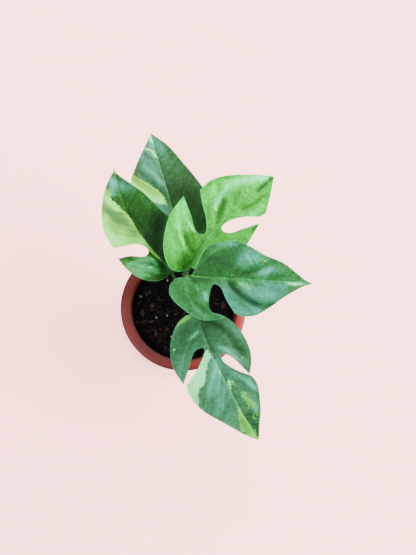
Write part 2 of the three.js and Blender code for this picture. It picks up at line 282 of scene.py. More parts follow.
def pot_material():
    material, root, surface = new_material("red_brown_plastic")
    place = object_place(root)
    x, y, z = split(root, place)
    radius = root.math("SQRT", x * x + y * y)
    cloud = root.grain(place, 28, 4)
    speck = root.grain(place, 900, 2, 0.7)
    fine = root.grain(place, 240, 4, 0.6)
    clay = root.mix(cloud.rise(0.35, 0.7), linear(92, 23, 20), linear(108, 28, 24))
    clay = root.mix(speck.rise(0.6, 0.75) * 0.25, clay, linear(128, 42, 36))
    # Painted light: the side of the pot that faces the key light is painted paler.
    painted_light_side = (x - 0.6 * y).rise(5 * MM, 75 * MM)
    clay = root.mix(painted_light_side * (0.5 + cloud), clay, linear(132, 38, 35))
    # Peat dust clings to the lip beside the soil, mostly at one side, and to the inner wall.
    smear = cloud * 0.6 + fine * 0.4
    on_lip = z.rise(pot_height - 4 * MM, pot_height - 1 * MM)
    by_mouth = radius.rise(mouth_radius + 6 * MM, mouth_radius - 1 * MM) * on_lip
    splashed = (x + y).rise(-20 * MM, -78 * MM)
    dusty = by_mouth * (smear + 0.2 * splashed).rise(0.44, 0.6)
    clay = root.mix(dusty * 0.7, clay, linear(52, 38, 35))
    mid_wall = z * wall_taper + (BASE_RADIUS - POT_WALL / 2)
    inside = (mid_wall - radius).rise(-0.3 * MM, 0.3 * MM) * z.rise(channel_top, 1.5 * channel_top)
    below = z.rise(pot_height - 2 * MM, pot_height - 9 * MM)
    soiled = inside * below * smear.rise(0.3, 0.55)
    clay = root.mix(soiled * 0.8, clay, linear(24, 14, 10))
    # The outer edge of the rim is rubbed a little paler, and has painted shade on the side that
    # faces away from the key light. The foot of the wall is grubby.
    rubbed = radius.rise(rim_radius - 1.6 * MM, rim_radius - 0.4 * MM) * on_lip
    clay = root.mix(rubbed * fine.rise(0.45, 0.65) * 0.35, clay, linear(150, 58, 52))
    grubby = z.rise(16 * MM, 2 * MM) * fine.rise(0.4, 0.65)
    clay = root.mix(grubby * 0.4, clay, linear(52, 30, 22))
    outer_edge = radius.rise(rim_radius - 2.4 * MM, rim_radius - 0.4 * MM)
    painted_shade_edge = outer_edge * (0.6 * y - x).rise(0, 60 * MM)
    clay = root.mix(painted_shade_edge * on_lip * 0.6, clay, linear(40, 14, 12))
    # The outside has dried splashes running down it, a film of dust, and rubbed scuffs round it.
    angle = root.math("ARCTAN2", y, x)
    runs_place = root.node("CombineXYZ", {}, {0: angle * 7, 1: z * 30})
    runs = root.grain(runs_place, 1.0, 5, 0.7)
    scuff_place = root.node("CombineXYZ", {}, {0: angle * 3, 1: z * 620})
    scuffs = root.grain(scuff_place, 1.0, 4, 0.75)
    outside = 1 - inside * below
    upright = z.rise(pot_height - 1 * MM, pot_height - 3 * MM) * outside
    film = upright * (0.2 * runs + 0.4 * cloud + 0.4 * fine).rise(0.4, 0.62)
    clay = root.mix(film * 0.16, clay, linear(150, 82, 70))
    scuffed = upright * scuffs.rise(0.6, 0.7) * cloud.rise(0.45, 0.6)
    clay = root.mix(scuffed * 0.22, clay, linear(168, 80, 68))
    polish = 0.36 + 0.14 * fine + 0.2 * dusty + 0.25 * soiled + 0.2 * film
    tool_lines = root.math("SINE", z * 5200) * 0.15
    height = fine * 0.5 + speck * 0.2 + tool_lines
    set_surface(root, surface, {
        "Base Color": clay,
        "Roughness": polish,
        "Normal": root.bump(height, 0.12 * MM, 0.5),
        "Specular IOR Level": 0.42,
    })
    return material


pot_plastic = pot_material()
pot = as_object("pot_shell", make_pot(), pot_plastic)
cutters = as_object("drain_cutters", drain_cutters(), pot_plastic)
drilling = pot.modifiers.new("drains", "BOOLEAN")
drilling.operation = "DIFFERENCE"
drilling.solver = "EXACT"
drilling.object = cutters
with_modifiers(pot)
bpy.data.objects.remove(cutters)
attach(pot, "root")
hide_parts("pot")


# ---------------------------------------------------------------- soil
# One packed mass of black peat and composted bark. Its top is lumpy, with a scatter of crumbs and
# short fibres pressed into it, and it keeps a hair's breadth from the pot wall.

soil_low, soil_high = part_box("soil")
SOIL_HEAP = 2 * MM
LUMP_HEIGHT = 1.5 * MM
CRUMB_HEIGHT = 2.1 * MM
GRIT_HEIGHT = 0.35 * MM
SOIL_SETTLING = 0.8 * MM  # against the pot wall
SOIL_GAP = 0.3 * MM  # between the soil and the pot wall
soil_level = soil_high.z - SOIL_HEAP
soil_radius = soil_high.x
SOIL_RINGS = 84
SOIL_STEPS = 300
CRUMB_COUNT = 2600
FIBRE_COUNT = 430
soil_random = random.Random(41)
noise.seed_set(41)  # noise_vector gives other values on each run without a seed


def soil_top(x, y):
    """Height of the soil's lumpy surface."""
    radius = math.hypot(x, y)
    heap = SOIL_HEAP * (1 - (radius / soil_radius) ** 2)
    place = Vector((x, y, 0.4))
    lumps = noise.noise(place * 90) * LUMP_HEIGHT
    crumbs = abs(noise.noise(place * 260 + Vector((3, 1, 7)))) * CRUMB_HEIGHT
    grit = noise.noise(place * 700 + Vector((9, 2, 5))) * GRIT_HEIGHT
    settled = SOIL_SETTLING * max(0.0, radius / soil_radius - 0.86) / 0.14
    return soil_level + heap - CRUMB_HEIGHT / 3 + lumps + crumbs + grit - settled


def make_soil():
    foot = soil_low.z
    profile = [(0, foot), (wall_inside(foot) - SOIL_GAP, foot)]
    rings = [soil_radius * (1 - ring / SOIL_RINGS) for ring in range(SOIL_RINGS + 1)]
    profile += [(radius, soil_level) for radius in rings]
    bm = turned(profile, SOIL_STEPS)
    for vert in bm.verts:
        if vert.co.z > soil_level - 1 * MM:
            vert.co.z = soil_top(vert.co.x, vert.co.y)
    return bm


def soil_material():
    material, root, surface = new_material("peat")
    place = object_place(root)
    lumps = root.grain(place, 260, 4, 0.6)
    grit = root.grain(place, 1400, 3, 0.7)
    fleck = root.grain(place, 620, 2, 0.6)
    dark = root.mix(lumps.rise(0.35, 0.7), linear(1, 1, 1), linear(9, 6, 5))
    brown = root.mix(fleck.rise(0.62, 0.72) * 0.5, dark, linear(36, 18, 11))
    # Pale grey grit specks: partly real grit and partly painted glints on the moist crumbs.
    grit_and_painted_glints = root.mix(grit.rise(0.7, 0.8) * 0.4, brown, linear(62, 56, 50))
    set_surface(root, surface, {
        "Base Color": grit_and_painted_glints,
        "Roughness": 0.95 - 0.3 * fleck.rise(0.55, 0.7),
        "Normal": root.bump(grit * 0.6 + lumps * 0.4, 0.5 * MM, 0.9),
        "Specular IOR Level": 0.16,
    })
    return material


def soil_spots(count):
    """Places spread evenly over the soil, as (x, y)."""
    for _ in range(count):
        radius = soil_radius * 0.97 * math.sqrt(soil_random.random())
        angle = soil_random.uniform(0, math.tau)
        yield radius * math.cos(angle), radius * math.sin(angle)


def make_crumbs(count):
    bm = bmesh.new()
    for x, y in soil_spots(count):
        size = soil_random.uniform(0.35, 1.25) * MM * (0.6 + soil_random.random())
        turn = Euler([soil_random.uniform(0, math.tau) for _ in range(3)]).to_matrix().to_4x4()
        squash = Matrix.Diagonal((1, soil_random.uniform(0.6, 1), soil_random.uniform(0.5, 0.9), 1))
        spot = Matrix.Translation((x, y, soil_top(x, y) + 0.15 * size))
        made = bmesh.ops.create_icosphere(bm, subdivisions=1, radius=size,
                                          matrix=spot @ turn @ squash)
        for vert in made["verts"]:
            vert.co += noise.noise_vector(vert.co * 2100) * size * 0.35
    return bm


def make_fibres(count):
    """Slivers of bark and root fibre that lie on the soil."""
    bm = bmesh.new()
    for x, y in soil_spots(count):
        length = soil_random.uniform(1.2, 4.4) * MM
        thick = soil_random.uniform(0.18, 0.5) * MM
        lean = soil_random.uniform(-0.4, 0.4)
        turn = Euler((0, math.pi / 2 + lean, soil_random.uniform(0, math.tau))).to_matrix().to_4x4()
        spot = Matrix.Translation((x, y, soil_top(x, y) + 0.5 * thick + abs(lean) * length * 0.3))
        bmesh.ops.create_cone(bm, cap_ends=True, segments=5, radius1=thick, radius2=thick * 0.5,
                              depth=length, matrix=spot @ turn)
    return bm


def fibre_material():
    material, root, surface = new_material("bark_fibre")
    place = object_place(root)
    patch = root.grain(place, 180, 3)
    streak = root.grain(place, 1500, 3)
    brown = root.mix(patch.rise(0.4, 0.62), linear(8, 5, 4), linear(56, 29, 18))
    brown = root.mix(streak.rise(0.6, 0.8) * 0.5, brown, linear(66, 50, 38))
    set_surface(root, surface, {
        "Base Color": brown,
        "Roughness": 0.8 - 0.2 * streak,
        "Normal": root.bump(streak, 0.2 * MM, 0.6),
    })
    return material


peat = soil_material()
fibre = fibre_material()
soil = as_object("soil_mass", make_soil(), peat)
crumbs = as_object("soil_crumbs", make_crumbs(CRUMB_COUNT), peat, smooth=False)
fibres = as_object("soil_fibres", make_fibres(FIBRE_COUNT), fibre, smooth=False)
for piece in (soil, crumbs, fibres):
    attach(piece, "root")
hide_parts("soil")


# ---------------------------------------------------------------- bark chips
# Loose bits of composted bark left on top of the soil, broken along the grain, reddish brown
# where they are fresh. They only lie there, pressed slightly into the peat.

CHIP_CUTS = 4
CHIP_BREAKAGE = 1.9 * MM
CHIP_COARSENESS = 420  # lumps to the metre
CHIP_SINK = 1.7 * MM


def roughened(node, cuts, amount, scale, sink):
    """A broken-looking copy of a loose piece: its plain shape divided, displaced and sunk."""
    bm = bmesh.new()
    bm.from_mesh(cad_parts[node].data)
    bmesh.ops.remove_doubles(bm, verts=bm.verts, dist=1e-6)
    bmesh.ops.subdivide_edges(bm, edges=bm.edges, cuts=cuts, use_grid_fill=True, smooth=0.35)
    low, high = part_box(node)
    centre = (low + high) / 2
    for vert in bm.verts:
        outward = (vert.co - centre).normalized()
        vert.co += outward * noise.noise(vert.co * scale) * amount
        vert.co += noise.noise_vector(vert.co * scale * 2.3) * amount * 0.4
        vert.co.z -= sink
    bmesh.ops.recalc_face_normals(bm, faces=bm.faces)
    return bm


def chip_material():
    material, root, surface = new_material("bark")
    place = object_place(root)
    patch = root.grain(place, 120, 3)
    layers = root.node("TexNoise", {}, {
        "Vector": root.node("Mapping", {}, {"Vector": place, "Scale": (1, 1, 5)}),
        "Scale": 420, "Detail": 4, "Roughness": 0.65})
    brown = root.mix(patch.rise(0.35, 0.65), linear(9, 6, 5), linear(34, 17, 12))
    brown = root.mix(layers.rise(0.5, 0.62) * 0.7, brown, linear(12, 6, 4))
    brown = root.mix(layers.rise(0.4, 0.3) * 0.35, brown, linear(78, 42, 27))
    set_surface(root, surface, {
        "Base Color": brown,
        "Roughness": 0.7 + 0.2 * layers,
        "Normal": root.bump(layers, 0.5 * MM, 0.9),
    })
    return material


bark = chip_material()
for node in sorted(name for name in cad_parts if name.startswith("bark_chip")):
    broken = roughened(node, CHIP_CUTS, CHIP_BREAKAGE, CHIP_COARSENESS, CHIP_SINK)
    chip = as_object(node + "_rough", broken, bark)
    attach(chip, "root")
    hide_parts(node)


# ---------------------------------------------------------------- perlite
# White grains of expanded volcanic glass mixed into the potting soil to keep it airy. The few
# that show lie on the surface, pitted and slightly stained by the peat.

PERLITE_CUTS = 3
PERLITE_PITTING = 0.4 * MM
PERLITE_COARSENESS = 1100  # lumps to the metre
PERLITE_SINK = 0.5 * MM


def perlite_material():
    material, root, surface = new_material("perlite")
    place = object_place(root)
    pits = root.node("TexVoronoi", {"feature": "F1"}, {"Vector": place, "Scale": 1600}, "Distance")
    stain = root.grain(place, 700, 3)
    chalk = root.mix(stain.rise(0.45, 0.7) * 0.6, linear(116, 106, 94), linear(62, 50, 40))
    chalk = root.mix(pits.rise(0.25, 0.05) * 0.5, chalk, linear(84, 76, 66))
    set_surface(root, surface, {
        "Base Color": chalk,
        "Roughness": 0.75 + 0.15 * stain,
        "Normal": root.bump(pits, 0.3 * MM, 0.8),
    })
    return material


perlite = perlite_material()
for node in sorted(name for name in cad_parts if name.startswith("perlite")):
    pitted = roughened(node, PERLITE_CUTS, PERLITE_PITTING, PERLITE_COARSENESS, PERLITE_SINK)
    grain = as_object(node + "_grain", pitted, perlite)
    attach(grain, "root")
    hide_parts(node)


# ---------------------------------------------------------------- blades
# Five leathery leaves of a split-leaf climber, each grown as one sheet half a millimetre thick:
# folded softly along a midrib, puckered between side veins, and split into lobes along some of
# them. Pale sectors are tissue that lacks green; their edges follow the veins in small steps.
#
#   heading, pitch, roll   degrees the blade is turned; length, droop, cup and bow in mm
#   leaves_stem, bearing   mm above the soil and direction in which the stalk leaves the stem
#   right, left            the outline from base to tip as smooth runs that meet at sharp corners
#   furrows                (path, depth in mm, half width): side veins that sink into the blade, with painted shade
#   strokes                (path, half width, strength): deeper or brighter green, painted shade and painted glints
#   cool          the same, for a painted bluish sheen that stands for the sky's reflection
#   stains                 the same, for green and grey tints inside the pale sectors
#   cream, mint, lime      outlines of the pale sectors
#   flecks                 (x, y, reach): places sprinkled with pale specks
#   midrib                 (x, paleness): how pale the midrib is along the blade
#   even_to                share of the length up to which the pale sectors have even edges
#   greens                 the green from its darkest to its palest, as display colours
#   bright                 what the finished red, green and blue are multiplied by
# Paths and outlines are in hundredths of the length: x from base to tip, y to the left.

LEAVES = {
    "back": {
        "heading": 108, "pitch": 14, "roll": 0, "length": 119, "droop": 14, "fold": 0.25,
        "cup": 2, "bow": 1.5, "leaves_stem": 10, "bearing": 93.2,
        "right": [
            [(-6, -4), (-8, -13), (-2, -23), (12, -30), (30, -31), (48, -26), (69, -17.6),
             (86, -10), (100, 0)],
        ],
        "left": [
            [(-6, 4), (-8, 13), (-1, 23), (14, 30), (34, 32.5), (55, 31), (65, 28), (80, 17),
             (91, 7.5), (100, 0)],
        ],
        "furrows": [
            ([(40, 2), (52, 8), (64, 15), (74, 19)], 0.7, 2.4),
            ([(54, 1), (66, 7), (78, 11), (86, 11)], 0.7, 2.4),
            ([(70, 1), (80, 4), (90, 5)], 0.4, 2),
            ([(30, -2), (46, -10), (60, -15)], 0.3, 3),
            ([(55, -1), (70, -7), (84, -9)], 0.3, 3),
        ],
        "strokes": [
            ([(20, -16), (50, -12)], 14, -0.42),
            ([(66, -8), (78, -6)], 5, 0.06),
            ([(85, -3), (93, -3)], 5, 0.22),
            ([(59, 4), (66, 8), (74, 14)], 2.6, 0.42),
            ([(68, 3), (76, 8), (83, 13)], 2.0, 0.3),
            ([(53, 6), (60, 10)], 2.4, -0.2),
            ([(76, 11), (84, 9)], 2.6, -0.14),
            ([(90, 3), (96, 1.6)], 3, 0.34),
            ([(56, 3), (62, 5), (70, 10)], 0.8, 0.5),
            ([(62, 4), (70, 7), (78, 12)], 0.8, 0.4),
            ([(74, 2), (80, 4), (86, 8)], 0.8, 0.5),
            ([(34, 9), (44, 12), (50, 18)], 1.2, 0.3),
            ([(84, -5), (92, -3)], 0.8, 0.3),
            ([(32, 6), (42, 10), (48, 18)], 6, 0.36),
        ],
        "cool": [([(56, 5), (70, 9), (82, 12)], 9, 0.42), ([(34, 8), (44, 14)], 5, 0.3),
                 ([(84, -3), (95, -1)], 6, 0.4), ([(88, 3), (96, 1)], 3, 0.4)],
        "stains": [([(50, 11), (56, 15), (63, 21), (69, 26)], 3.4, 0.44),
                   ([(45, 9), (50, 16), (58, 24), (66, 29)], 2.2, -0.5)],
        "cream": [[(40.5, 4.5), (45, 5), (49, 6), (53, 8), (57, 11), (60, 13.6), (62, 15.4),
                   (66, 20), (71, 25), (66, 29), (60, 27), (52, 21), (46, 14), (42.5, 8)]],
        "mint": [[(40.5, 4.5), (43, 5), (45, 9), (49, 15), (55, 21), (60, 25), (55, 24),
                  (47, 17), (42, 9)],
                 [(78, 0.6), (82, 1.4), (85, 2.4), (87.6, 5), (89.6, 8.6), (88, 8.4), (85.6, 5.4),
                  (83, 4), (79.6, 2.8)],
                 [(91, 0.4), (96, 0.6), (100, 0), (96, 2.6), (92.4, 2.2)]],
        "lime": [],
        "flecks": [(88, 4, 7), (50, 16, 8)],
        "midrib": [(0, 0.3), (42, 0.4), (52, 0.9), (62, 0.9), (74, 0.75), (100, 0.9)],
        "even_to": -1,
        "greens": [(19, 45, 12), (32, 64, 24), (46, 92, 46), (60, 130, 80), (72, 166, 108)],
        "bright": (1.3, 1.1, 1.22),
    },
    "front": {
        "heading": -60.7, "pitch": -12, "roll": 0, "length": 129, "droop": 12, "fold": 0.12,
        "cup": 3, "bow": -4, "leaves_stem": 16, "bearing": -77.6,
        "right": [
            [(-5, -3.5), (-6.2, -8.5), (-3, -17), (5, -25), (15, -30), (25, -31.8), (35.6, -30.6)],
            [(28, -23), (19.5, -14.5), (18.6, -8.5), (20.6, -6.2), (24, -8.6), (31.5, -18),
             (37, -29.4)],
            [(47, -30.2), (60, -26.6), (76, -16.8), (93, -6.2), (100, 0)],
        ],
        "left": [
            [(-1, 6), (3, 13.5), (12, 20), (25, 23.3), (37, 23), (46, 19.4), (52.8, 14.4)],
            [(42, 11.3), (34.5, 8.2), (30.5, 4.6), (30.6, 2), (36.5, 2.4), (46, 8.2), (54.3, 15.6)],
            [(63, 16.4), (78.3, 11.6), (91, 4.6), (100, 0)],
        ],
        "furrows": [
            ([(2, -3), (5, -10), (10, -18), (20, -25), (32, -29)], 0.9, 2.6),
            ([(-1, -4), (-2, -9), (1, -16)], 0.5, 2.2),
            ([(3, 3), (10, 9), (20, 13), (34, 15), (48, 15)], 0.8, 2.6),
            ([(18, 2), (27, 8), (38, 13)], 0.5, 2),
            ([(36, -4), (44, -10), (52, -17), (62, -21)], 0.7, 2.2),
            ([(46, -4), (56, -10), (68, -15)], 0.6, 2.2),
            ([(44, -1), (54, 5), (66, 10)], 0.6, 2.2),
            ([(62, -2), (72, 2), (84, 4)], 0.4, 2),
        ],
        "strokes": [
            ([(3, 4), (14, 10), (26, 15), (36, 18)], 4.4, -0.3),
            ([(2, 1), (14, 0), (24, -1)], 3, -0.12),
            ([(1, -7), (4, -16), (12, -22)], 3.6, -0.24),
            ([(13, -6), (12, -14)], 3, -0.2),
            ([(7.4, -5), (8.6, -9), (9.4, -13)], 1.2, 0.5),
            ([(18, -24), (32, -29)], 3.6, 0.2),
            ([(24, 4), (32, 9), (46, 16)], 2.2, 0.36),
            ([(20, 20), (36, 21)], 2.4, 0.1),
            ([(34, -3), (42, -8), (50, -16)], 4, 0.5),
            ([(52, -8), (62, -16), (66, -20)], 3.6, 0.2),
            ([(60, -6), (74, -12)], 3, 0.05),
            ([(32, -2), (37, -4.6), (41, -9)], 1, 0.5),
            ([(38, -2), (46, -7), (52, -12)], 0.8, 0.4),
            ([(46, -3), (56, -8), (66, -14)], 0.7, 0.34),
            ([(25, 4), (30, 8), (38, 12)], 0.8, 0.5),
            ([(27, 7), (33, 13), (42, 17)], 0.9, 0.4),
            ([(8, -6), (9.6, -10)], 0.7, 0.4),
            ([(10, -12), (16, -20), (26, -27)], 0.8, 0.24),
            ([(50, 7), (56, 11), (64, 14)], 0.9, 0.36),
            ([(47, 4), (54, 10), (62, 13.6)], 2.6, 0.34),
            ([(57, 4), (64, 7)], 1.4, -0.2),
            ([(56, 12), (66, 12), (76, 9)], 2.4, 0.22),
            ([(6, 6), (10, 10)], 2.4, -0.3),
            ([(64, 4), (70, 6.6), (78, 8)], 2.2, 0.5),
            ([(78, 1), (86, 3), (95, 1.6)], 2.6, -0.34),
        ],
        "cool": [([(34, -4), (44, -10), (56, -12)], 8, 0.32), ([(46, 4), (58, 11)], 5, 0.24),
                 ([(60, -18), (74, -12)], 6, 0.12), ([(22, -27), (32, -29)], 5, 0.2)],
        "stains": [([(46, -27), (52, -28)], 2.6, 0.3), ([(80, -5), (90, -4)], 2.4, 0.4)],
        "cream": [],
        "mint": [[(22, -4.5), (25, -4.8), (28, -4), (30, -7.4), (31, -9.4), (34, -10.4),
                  (35, -13), (38, -14), (41, -15.6), (43, -19), (44, -23), (47, -24.6),
                  (50, -25.4), (53, -27.6), (57, -29), (50, -33), (38, -33), (34, -24),
                  (28, -14), (24, -8)],
                 [(48, -1), (51, -2.4), (55, -2.6), (58, -3.2), (54, -1.6), (50.4, -0.2)],
                 [(50, 0.4), (53, 1.2), (51.4, 1.4)],
                 [(39.2, 14.2), (41, 14.6), (40.2, 16)], [(3.6, -22), (5, -21.4), (4.8, -22.8)],
                 [(9.2, -26.4), (10.8, -24.6), (11, -26.2)], [(57, -26), (58.6, -25.6), (58, -27)]],
        "lime": [[(-9, -3), (-3.4, -4.5), (-2.8, -6), (-3.4, -8), (-2.6, -10), (-4, -12),
                  (-2.6, -14), (-3.6, -16), (-1.6, -19), (-2, -22), (-10, -14)],
                 [(70, -3), (76, -2.6), (84, -1.4), (92, 0.4), (100, 0), (97, -4), (92, -7.6),
                  (89, -6.4), (86.6, -9.2), (83, -8.2), (78, -6.4), (73, -4.6)],
                 [(61, 3.6), (65, 4.6), (69, 7), (74, 9), (77, 8.8), (73, 7), (77, 6.2),
                  (72, 5.2), (75, 3.8), (69, 3.6), (65, 2.6)],
                 [(56, 2.6), (60, 4.2), (64, 7), (66, 7.8), (62, 4.6)],
                 [(79, 7), (84, 7.4), (81, 6.2)], [(80, 4.2), (87, 4.8), (84, 3.6)]],
        "flecks": [(72, 6, 9), (40, 15, 3), (8, -24, 6), (9, -9, 4), (58, -26, 3), (52, 0, 6)],
        "midrib": [(0, 0.0), (34, 0.04), (46, 0.7), (74, 0.95), (84, 0.4), (100, 0.2)],
        "even_to": -1,
        "greens": [(20, 54, 18), (30, 74, 32), (46, 106, 60), (56, 144, 94), (70, 184, 130)],
        "bright": (1.38, 1.1, 1.34),
    },
    "left": {
        "heading": 119.9, "pitch": 10, "roll": 0, "length": 107, "droop": 10, "fold": 0.3,
        "cup": 2, "bow": 10, "leaves_stem": 22, "bearing": 160.5,
        "right": [
            [(-3, -4), (-4, -10), (0, -17), (9, -22), (21, -24), (32, -22.5), (48.6, -16),
             (69, -10.3)],
            [(85, -2.8), (94, 0.8), (100, 0)],
        ],
        "left": [
            [(-3.6, 4), (-4.6, 10), (-2.5, 18), (5, 27), (16, 33), (28, 35.5)],
            [(25.4, 25), (20, 16), (20.6, 10.6), (25, 9.4), (31.8, 15), (35, 26), (37.4, 34.6)],
            [(50, 35.2), (62.6, 31.8), (78.5, 22.4), (90, 11.8), (96, 3.6), (100, 0)],
        ],
        "furrows": [
            ([(2, 4), (6, 12), (12, 20), (22, 29)], 0.7, 2.4),
            ([(20, 3), (30, -6), (44, -14)], 0.5, 3),
            ([(44, 6), (56, -1), (68, -6)], 0.4, 3),
            ([(40, 10), (50, 18), (60, 24), (70, 26)], 0.6, 2.6),
            ([(58, 10), (70, 12), (80, 12)], 0.5, 2.2),
            ([(74, 6), (84, 7), (93, 5)], 0.4, 2),
        ],
        "strokes": [
            ([(12, 1), (26, -1), (40, -10)], 8, -0.62),
            ([(30, 5), (46, 5), (58, 7)], 3, -0.32),
            ([(46, -4), (60, 0)], 6, -0.12),
            ([(56, -8), (68, -8), (78, -5)], 3, 0.14),
            ([(28, -2), (44, 2)], 6, 0.04),
            ([(70, 12), (76, 14)], 2, -0.2),
            ([(80, 2), (88, 6), (92, 9)], 3.2, 0.5),
            ([(84, 10), (87, 12)], 1.6, -0.1),
            ([(-5, 6), (-3, 13)], 3.4, -0.3),
            ([(2, 6), (8, 5)], 2.4, -0.36),
            ([(5, 11), (9, 16), (14, 22)], 3.4, 0.8),
            ([(10, 7), (17, 11)], 2.6, 0.5),
            ([(13, 14), (18, 19)], 1.4, 0.3),
            ([(6, 26), (18, 31)], 4, 0.6),
            ([(15, 12), (19, 20), (20, 28)], 1.2, 0.8),
            ([(4, 19), (9, 26)], 1.2, 0.5),
            ([(12, 18), (18, 24)], 1, 0.9),
            ([(6, 13), (9, 19)], 0.8, 0.6),
            ([(14, 9), (19, 14), (23, 22)], 0.8, 0.8),
            ([(9, 22), (14, 28)], 0.8, 0.6),
            ([(9, 9), (15, 12), (18, 14)], 1.1, 0.8),
            ([(80, 12), (88, 8)], 2.4, 0.5),
            ([(17, 18), (22, 26)], 2.4, -0.04),
        ],
        "cool": [([(78, -2), (86, 5), (91, 9)], 6, 0.5), ([(79, 13), (86, 11)], 4, 0.5),
                 ([(10, 12), (16, 20)], 7, 0.14)],
        "stains": [
            ([(42, 13), (50, 17), (60, 18)], 7, 0.5),
            ([(40, 27), (50, 31), (60, 29)], 4, -0.2),
            ([(56, 20), (63, 22), (70, 23)], 4.4, 0.42),
            ([(60, 21), (68, 24)], 1.8, 0.36),
            ([(9, 4), (16, 5.6), (23, 8.4)], 3, 0.36),
            ([(84, 14), (90, 9)], 4, 0.5),
            ([(44, 12), (52, 14), (58, 15)], 3, 0.2),
            ([(48, 26), (58, 28)], 3, 0.3),
            ([(36, 33), (50, 35)], 3, -0.4),
            ([(66, 16), (74, 18)], 2.4, -0.3),
            ([(68, 29), (76, 24)], 2.4, 0.5),
        ],
        "cream": [[(9, 3.2), (14, 3.6), (20, 5.4), (30, 7.2), (42, 8.8), (52, 9), (57, 9.6),
                   (60, 11), (62, 10.4), (64, 12), (67, 12), (69, 14), (72, 14.2), (74, 16),
                   (78, 15.6), (80, 13.6), (84, 13.5), (88, 17), (80, 24), (64, 36), (50, 38),
                   (35, 38), (33, 22), (28, 12), (22, 8.6), (14, 6)]],
        "mint": [[(7, 12), (9, 12.6), (11, 15), (10, 17), (8, 15)],
                 [(12, 18), (14, 20), (13, 22)],
                 [(12, 7), (15, 9.4), (17, 11), (14, 10.4)]],
        "lime": [[(93, 2.4), (97, 3.6), (101, 0), (95, -0.6)]],
        "flecks": [(11, 15, 9), (76, 14, 6)],
        "midrib": [(0, 0.4), (14, 0.4), (24, 0.1), (60, 0.06), (100, 0.3)],
        "even_to": 0.5,
        "greens": [(6, 32, 2), (14, 54, 7), (32, 80, 17), (54, 134, 58), (68, 174, 98)],
        "bright": (1.08, 1.05, 1.04),
    },
    "right": {
        "heading": -1.7, "pitch": 2, "roll": 0, "length": 106, "droop": 8, "fold": 0.16,
        "cup": 2, "bow": 0, "leaves_stem": 28, "bearing": -104.5,
        "right": [
            [(-5, -1.2), (-12, -2.6), (-16.8, -9), (-15.5, -18), (-6, -27), (6, -34), (16, -35),
             (27.4, -32)],
            [(19, -29.8), (14.6, -25), (14.4, -16), (16.2, -7.6), (19, -5.7), (24, -9),
             (28.5, -19), (35, -29)],
            [(42, -31), (52, -29.4), (64, -21.7), (78, -11.2), (91, -3.4), (100, 0)],
        ],
        "left": [
            [(3.8, 8.5), (8, 19), (12.3, 25.5)],
            [(23, 28.4), (36, 30), (47, 26.6), (60, 19.8), (73.6, 15), (85, 7.8), (93, 2.2),
             (100, 0)],
        ],
        "furrows": [
            ([(29, -2.5), (34, -9), (41, -15.4), (50, -20.4), (58, -22.4), (68, -20)], 2.0, 2.6),
            ([(38, 2), (47, 5), (56, 9), (66, 14)], 1.6, 2.6),
            ([(62, 0.5), (70, 3), (80, 4.5)], 0.7, 2),
            ([(8, 3), (16, 11), (25, 18), (38, 26)], 1.0, 2.6),
            ([(0, -2), (-2, -10), (2, -20), (10, -29)], 0.6, 2.6),
            ([(-4, -2), (-9, -8), (-10, -16)], 0.4, 2.4),
            ([(50, -2), (58, -7), (70, -10)], 0.6, 2.4),
        ],
        "strokes": [
            ([(6, 3), (18, 8), (32, 9)], 6, -0.3),
            ([(10, 16), (22, 14), (36, 20)], 4, -0.24),
            ([(36, 4), (46, 5), (54, 8)], 2.4, -0.34),
            ([(20, 27), (30, 28)], 2.2, 0.26),
            ([(40, 13), (48, 18), (54, 20)], 4.4, 0.22),
            ([(56, 6), (64, 9)], 2.4, 0.3),
            ([(66, 3), (76, 4)], 1.6, -0.22),
            ([(70, 8), (82, 6)], 3, 0.06),
            ([(78, -1.4), (86, -0.8), (92, -0.6)], 2.2, 0.6),
            ([(26, -10), (32, -20), (40, -27), (52, -27)], 3.4, 0.14),
            ([(31, -5), (37, -11), (44, -16.4), (52, -20)], 1.7, -0.6),
            ([(52, -20), (58, -21.4), (66, -19.6)], 1.4, -0.5),
            ([(46, -10), (56, -13), (66, -12)], 6, 0.16),
            ([(60, -4), (72, -6)], 3, 0.12),
            ([(-8, -12), (2, -16)], 7, -0.14),
            ([(40, -4.4), (47, -7)], 2, 0.3),
            ([(2, -3), (14, -3)], 3, -0.34),
            ([(4, -28), (14, -32)], 3, 0.16),
            ([(11.6, -14), (12, -18)], 1.5, 0.85),
            ([(4.6, -8), (5.4, -10.6)], 0.9, 0.5),
            ([(43, 20), (46, 17), (48, 13)], 1.2, 0.4),
            ([(50, 17), (54, 13)], 1, 0.3),
            ([(57, 4.6), (63, 7)], 1, 0.3),
            ([(54, -22), (62, -20)], 1, 0.3),
            ([(36, -27), (46, -28)], 1.2, 0.26),
            ([(32, -19), (38, -24)], 0.9, 0.22),
            ([(28, 26), (34, 28)], 1, 0.3),
        ],
        "cool": [([(40, 16), (50, 20)], 8, 0.5), ([(56, 6), (66, 9)], 3.6, 0.55),
                 ([(20, 27), (34, 28)], 3.4, 0.45), ([(27, -10), (36, -26), (52, -26)], 6, 0.6),
                 ([(46, -11), (60, -13), (70, -11)], 8, 0.5), ([(58, -4), (74, -5)], 4, 0.3),
                 ([(2, -26), (12, -31)], 4, 0.25), ([(10, -18), (13, -12)], 4, 0.25)],
        "stains": [],
        "cream": [],
        "mint": [[(78, -2), (84, -2.6), (90, -1.6), (88, -0.4), (80, -0.6)]],
        "lime": [[(37, -3.8), (40, -3.2), (42.6, -5), (40, -5.8)],
                 [(43.6, -5.4), (46.6, -6.6), (48, -8.2), (45, -7.8)],
                 [(54, 14), (58, 15), (61, 16.4), (57, 16.4)],
                 [(30, 1.4), (33, 2.6), (34, 2), (32, 0.8)]],
        "flecks": [(44, -6, 7), (56, 14, 9), (8, -14, 7), (32, 1, 4)],
        "midrib": [(0, 0.3), (30, 0.3), (60, 0.25), (76, 0.5), (90, 0.9), (100, 0.3)],
        "even_to": -1,
        "greens": [(13, 44, 15), (24, 68, 22), (36, 102, 38), (48, 144, 78), (66, 190, 128)],
        "bright": (1.12, 1.04, 1.2),
    },
    "lime": {
